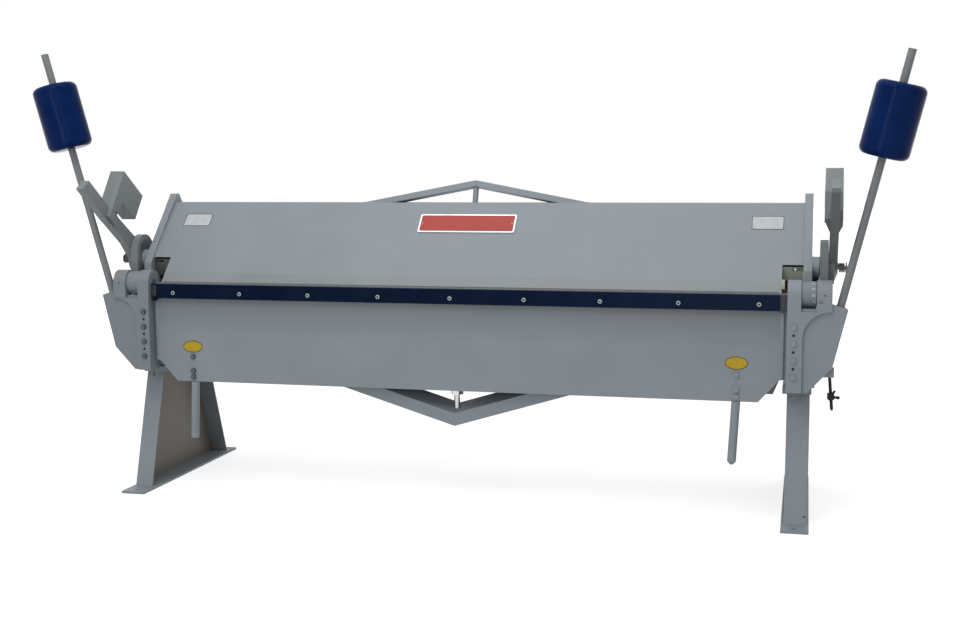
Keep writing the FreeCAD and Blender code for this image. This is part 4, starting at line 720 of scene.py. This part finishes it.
glow = addNode(tree, "ShaderNodeEmission", {"Color": (1, 1, 1, 1)}, {"Strength": seenGlow.outputs[0]})
both = addNode(tree, "ShaderNodeAddShader", links={0: diffuse.outputs[0], 1: glow.outputs[0]})
addNode(tree, "ShaderNodeOutputMaterial", links={"Surface": both.outputs[0]})
half = floorLook["size"] / 2
corners = [(-half, -half, 0), (half, -half, 0), (half, half, 0), (-half, half, 0)]
floorMesh = bpy.data.meshes.new("floor")
floorMesh.from_pydata(corners, [], [(0, 1, 2, 3)])
floor = bpy.data.objects.new("floor", floorMesh)
scene.collection.objects.link(floor)
floorMesh.materials.append(floorMaterial)

sky = {"low": 0.30, "high": 0.50, "start": -0.2, "end": 1.0}  # white to direct rays, a grey ramp to the rest
world = bpy.data.worlds.new("studioWorld")
scene.world = world
world.use_nodes = True
tree = world.node_tree
tree.nodes.clear()
way = addNode(tree, "ShaderNodeTexCoord").outputs["Generated"]
height = addNode(tree, "ShaderNodeSeparateXYZ", links={"Vector": way}).outputs["Z"]
room = addNode(tree, "ShaderNodeMapRange", {"From Min": sky["start"], "From Max": sky["end"],
                                            "To Min": sky["low"], "To Max": sky["high"]}, {"Value": height})
strength = addNode(tree, "ShaderNodeMath", {"operation": "MAXIMUM"},
                   {0: room.outputs[0], 1: directRays(tree)})
ground = addNode(tree, "ShaderNodeBackground", {"Color": (1, 1, 1, 1)}, {"Strength": strength.outputs[0]})
addNode(tree, "ShaderNodeOutputWorld", links={"Surface": ground.outputs[0]})

lamps = [
    {"name": "keyLamp", "place": (-1.0, -3.8, 5.0), "aim": (0, 0, 0.9), "size": (3.0, 2.0), "watts": 68},
    {"name": "topLamp", "place": (0.3, -0.8, 5.0), "aim": (0.3, -0.2, 0.5), "size": (4.5, 2.5), "watts": 60},
    {"name": "fillLamp", "place": (1.4, -5.4, 2.2), "aim": (0.5, 0, 0.8), "size": (2.0, 2.0), "watts": 13},
    {"name": "stripLamp", "place": (-1.2, -5.6, 1.6), "aim": (0, 0, 1.2), "size": (0.9, 2.4), "watts": 31},
]
for lamp in lamps:
    light = bpy.data.lights.new(lamp["name"], "AREA")
    light.shape = "RECTANGLE"
    light.size, light.size_y = lamp["size"]
    light.energy = lamp["watts"]
    holder = bpy.data.objects.new(lamp["name"], light)
    scene.collection.objects.link(holder)
    holder.location = lamp["place"]
    aim = Vector(lamp["aim"]) - Vector(lamp["place"])
    holder.rotation_euler = aim.to_track_quat("-Z", "Y").to_euler()

view = {"place": (1.3669, -5.3034, 1.3461), "yaw": 0.24494, "pitch": 0.11509, "roll": -0.00479,
        "lens": 49.042, "sensor": 36.0}  # angles in radians, lens and sensor in mm
cosYaw, sinYaw = math.cos(view["yaw"]), math.sin(view["yaw"])
cosPitch, sinPitch = math.cos(view["pitch"]), math.sin(view["pitch"])
forward = Vector((-sinYaw * cosPitch, cosYaw * cosPitch, -sinPitch))
right = Vector((cosYaw, sinYaw, 0))
up = right.cross(forward)
cosRoll, sinRoll = math.cos(view["roll"]), math.sin(view["roll"])
right, up = right * cosRoll + up * sinRoll, up * cosRoll - right * sinRoll
cameraData = bpy.data.cameras.new("photoCamera")
cameraData.lens = view["lens"]
cameraData.sensor_width = view["sensor"]
camera = bpy.data.objects.new("photoCamera", cameraData)
scene.collection.objects.link(camera)
camera.matrix_world = Matrix(((right.x, up.x, -forward.x, view["place"][0]),
                              (right.y, up.y, -forward.y, view["place"][1]),
                              (right.z, up.z, -forward.z, view["place"][2]), (0, 0, 0, 1)))
scene.camera = camera
scene.view_settings.view_transform = "Standard"
print("light and camera set")
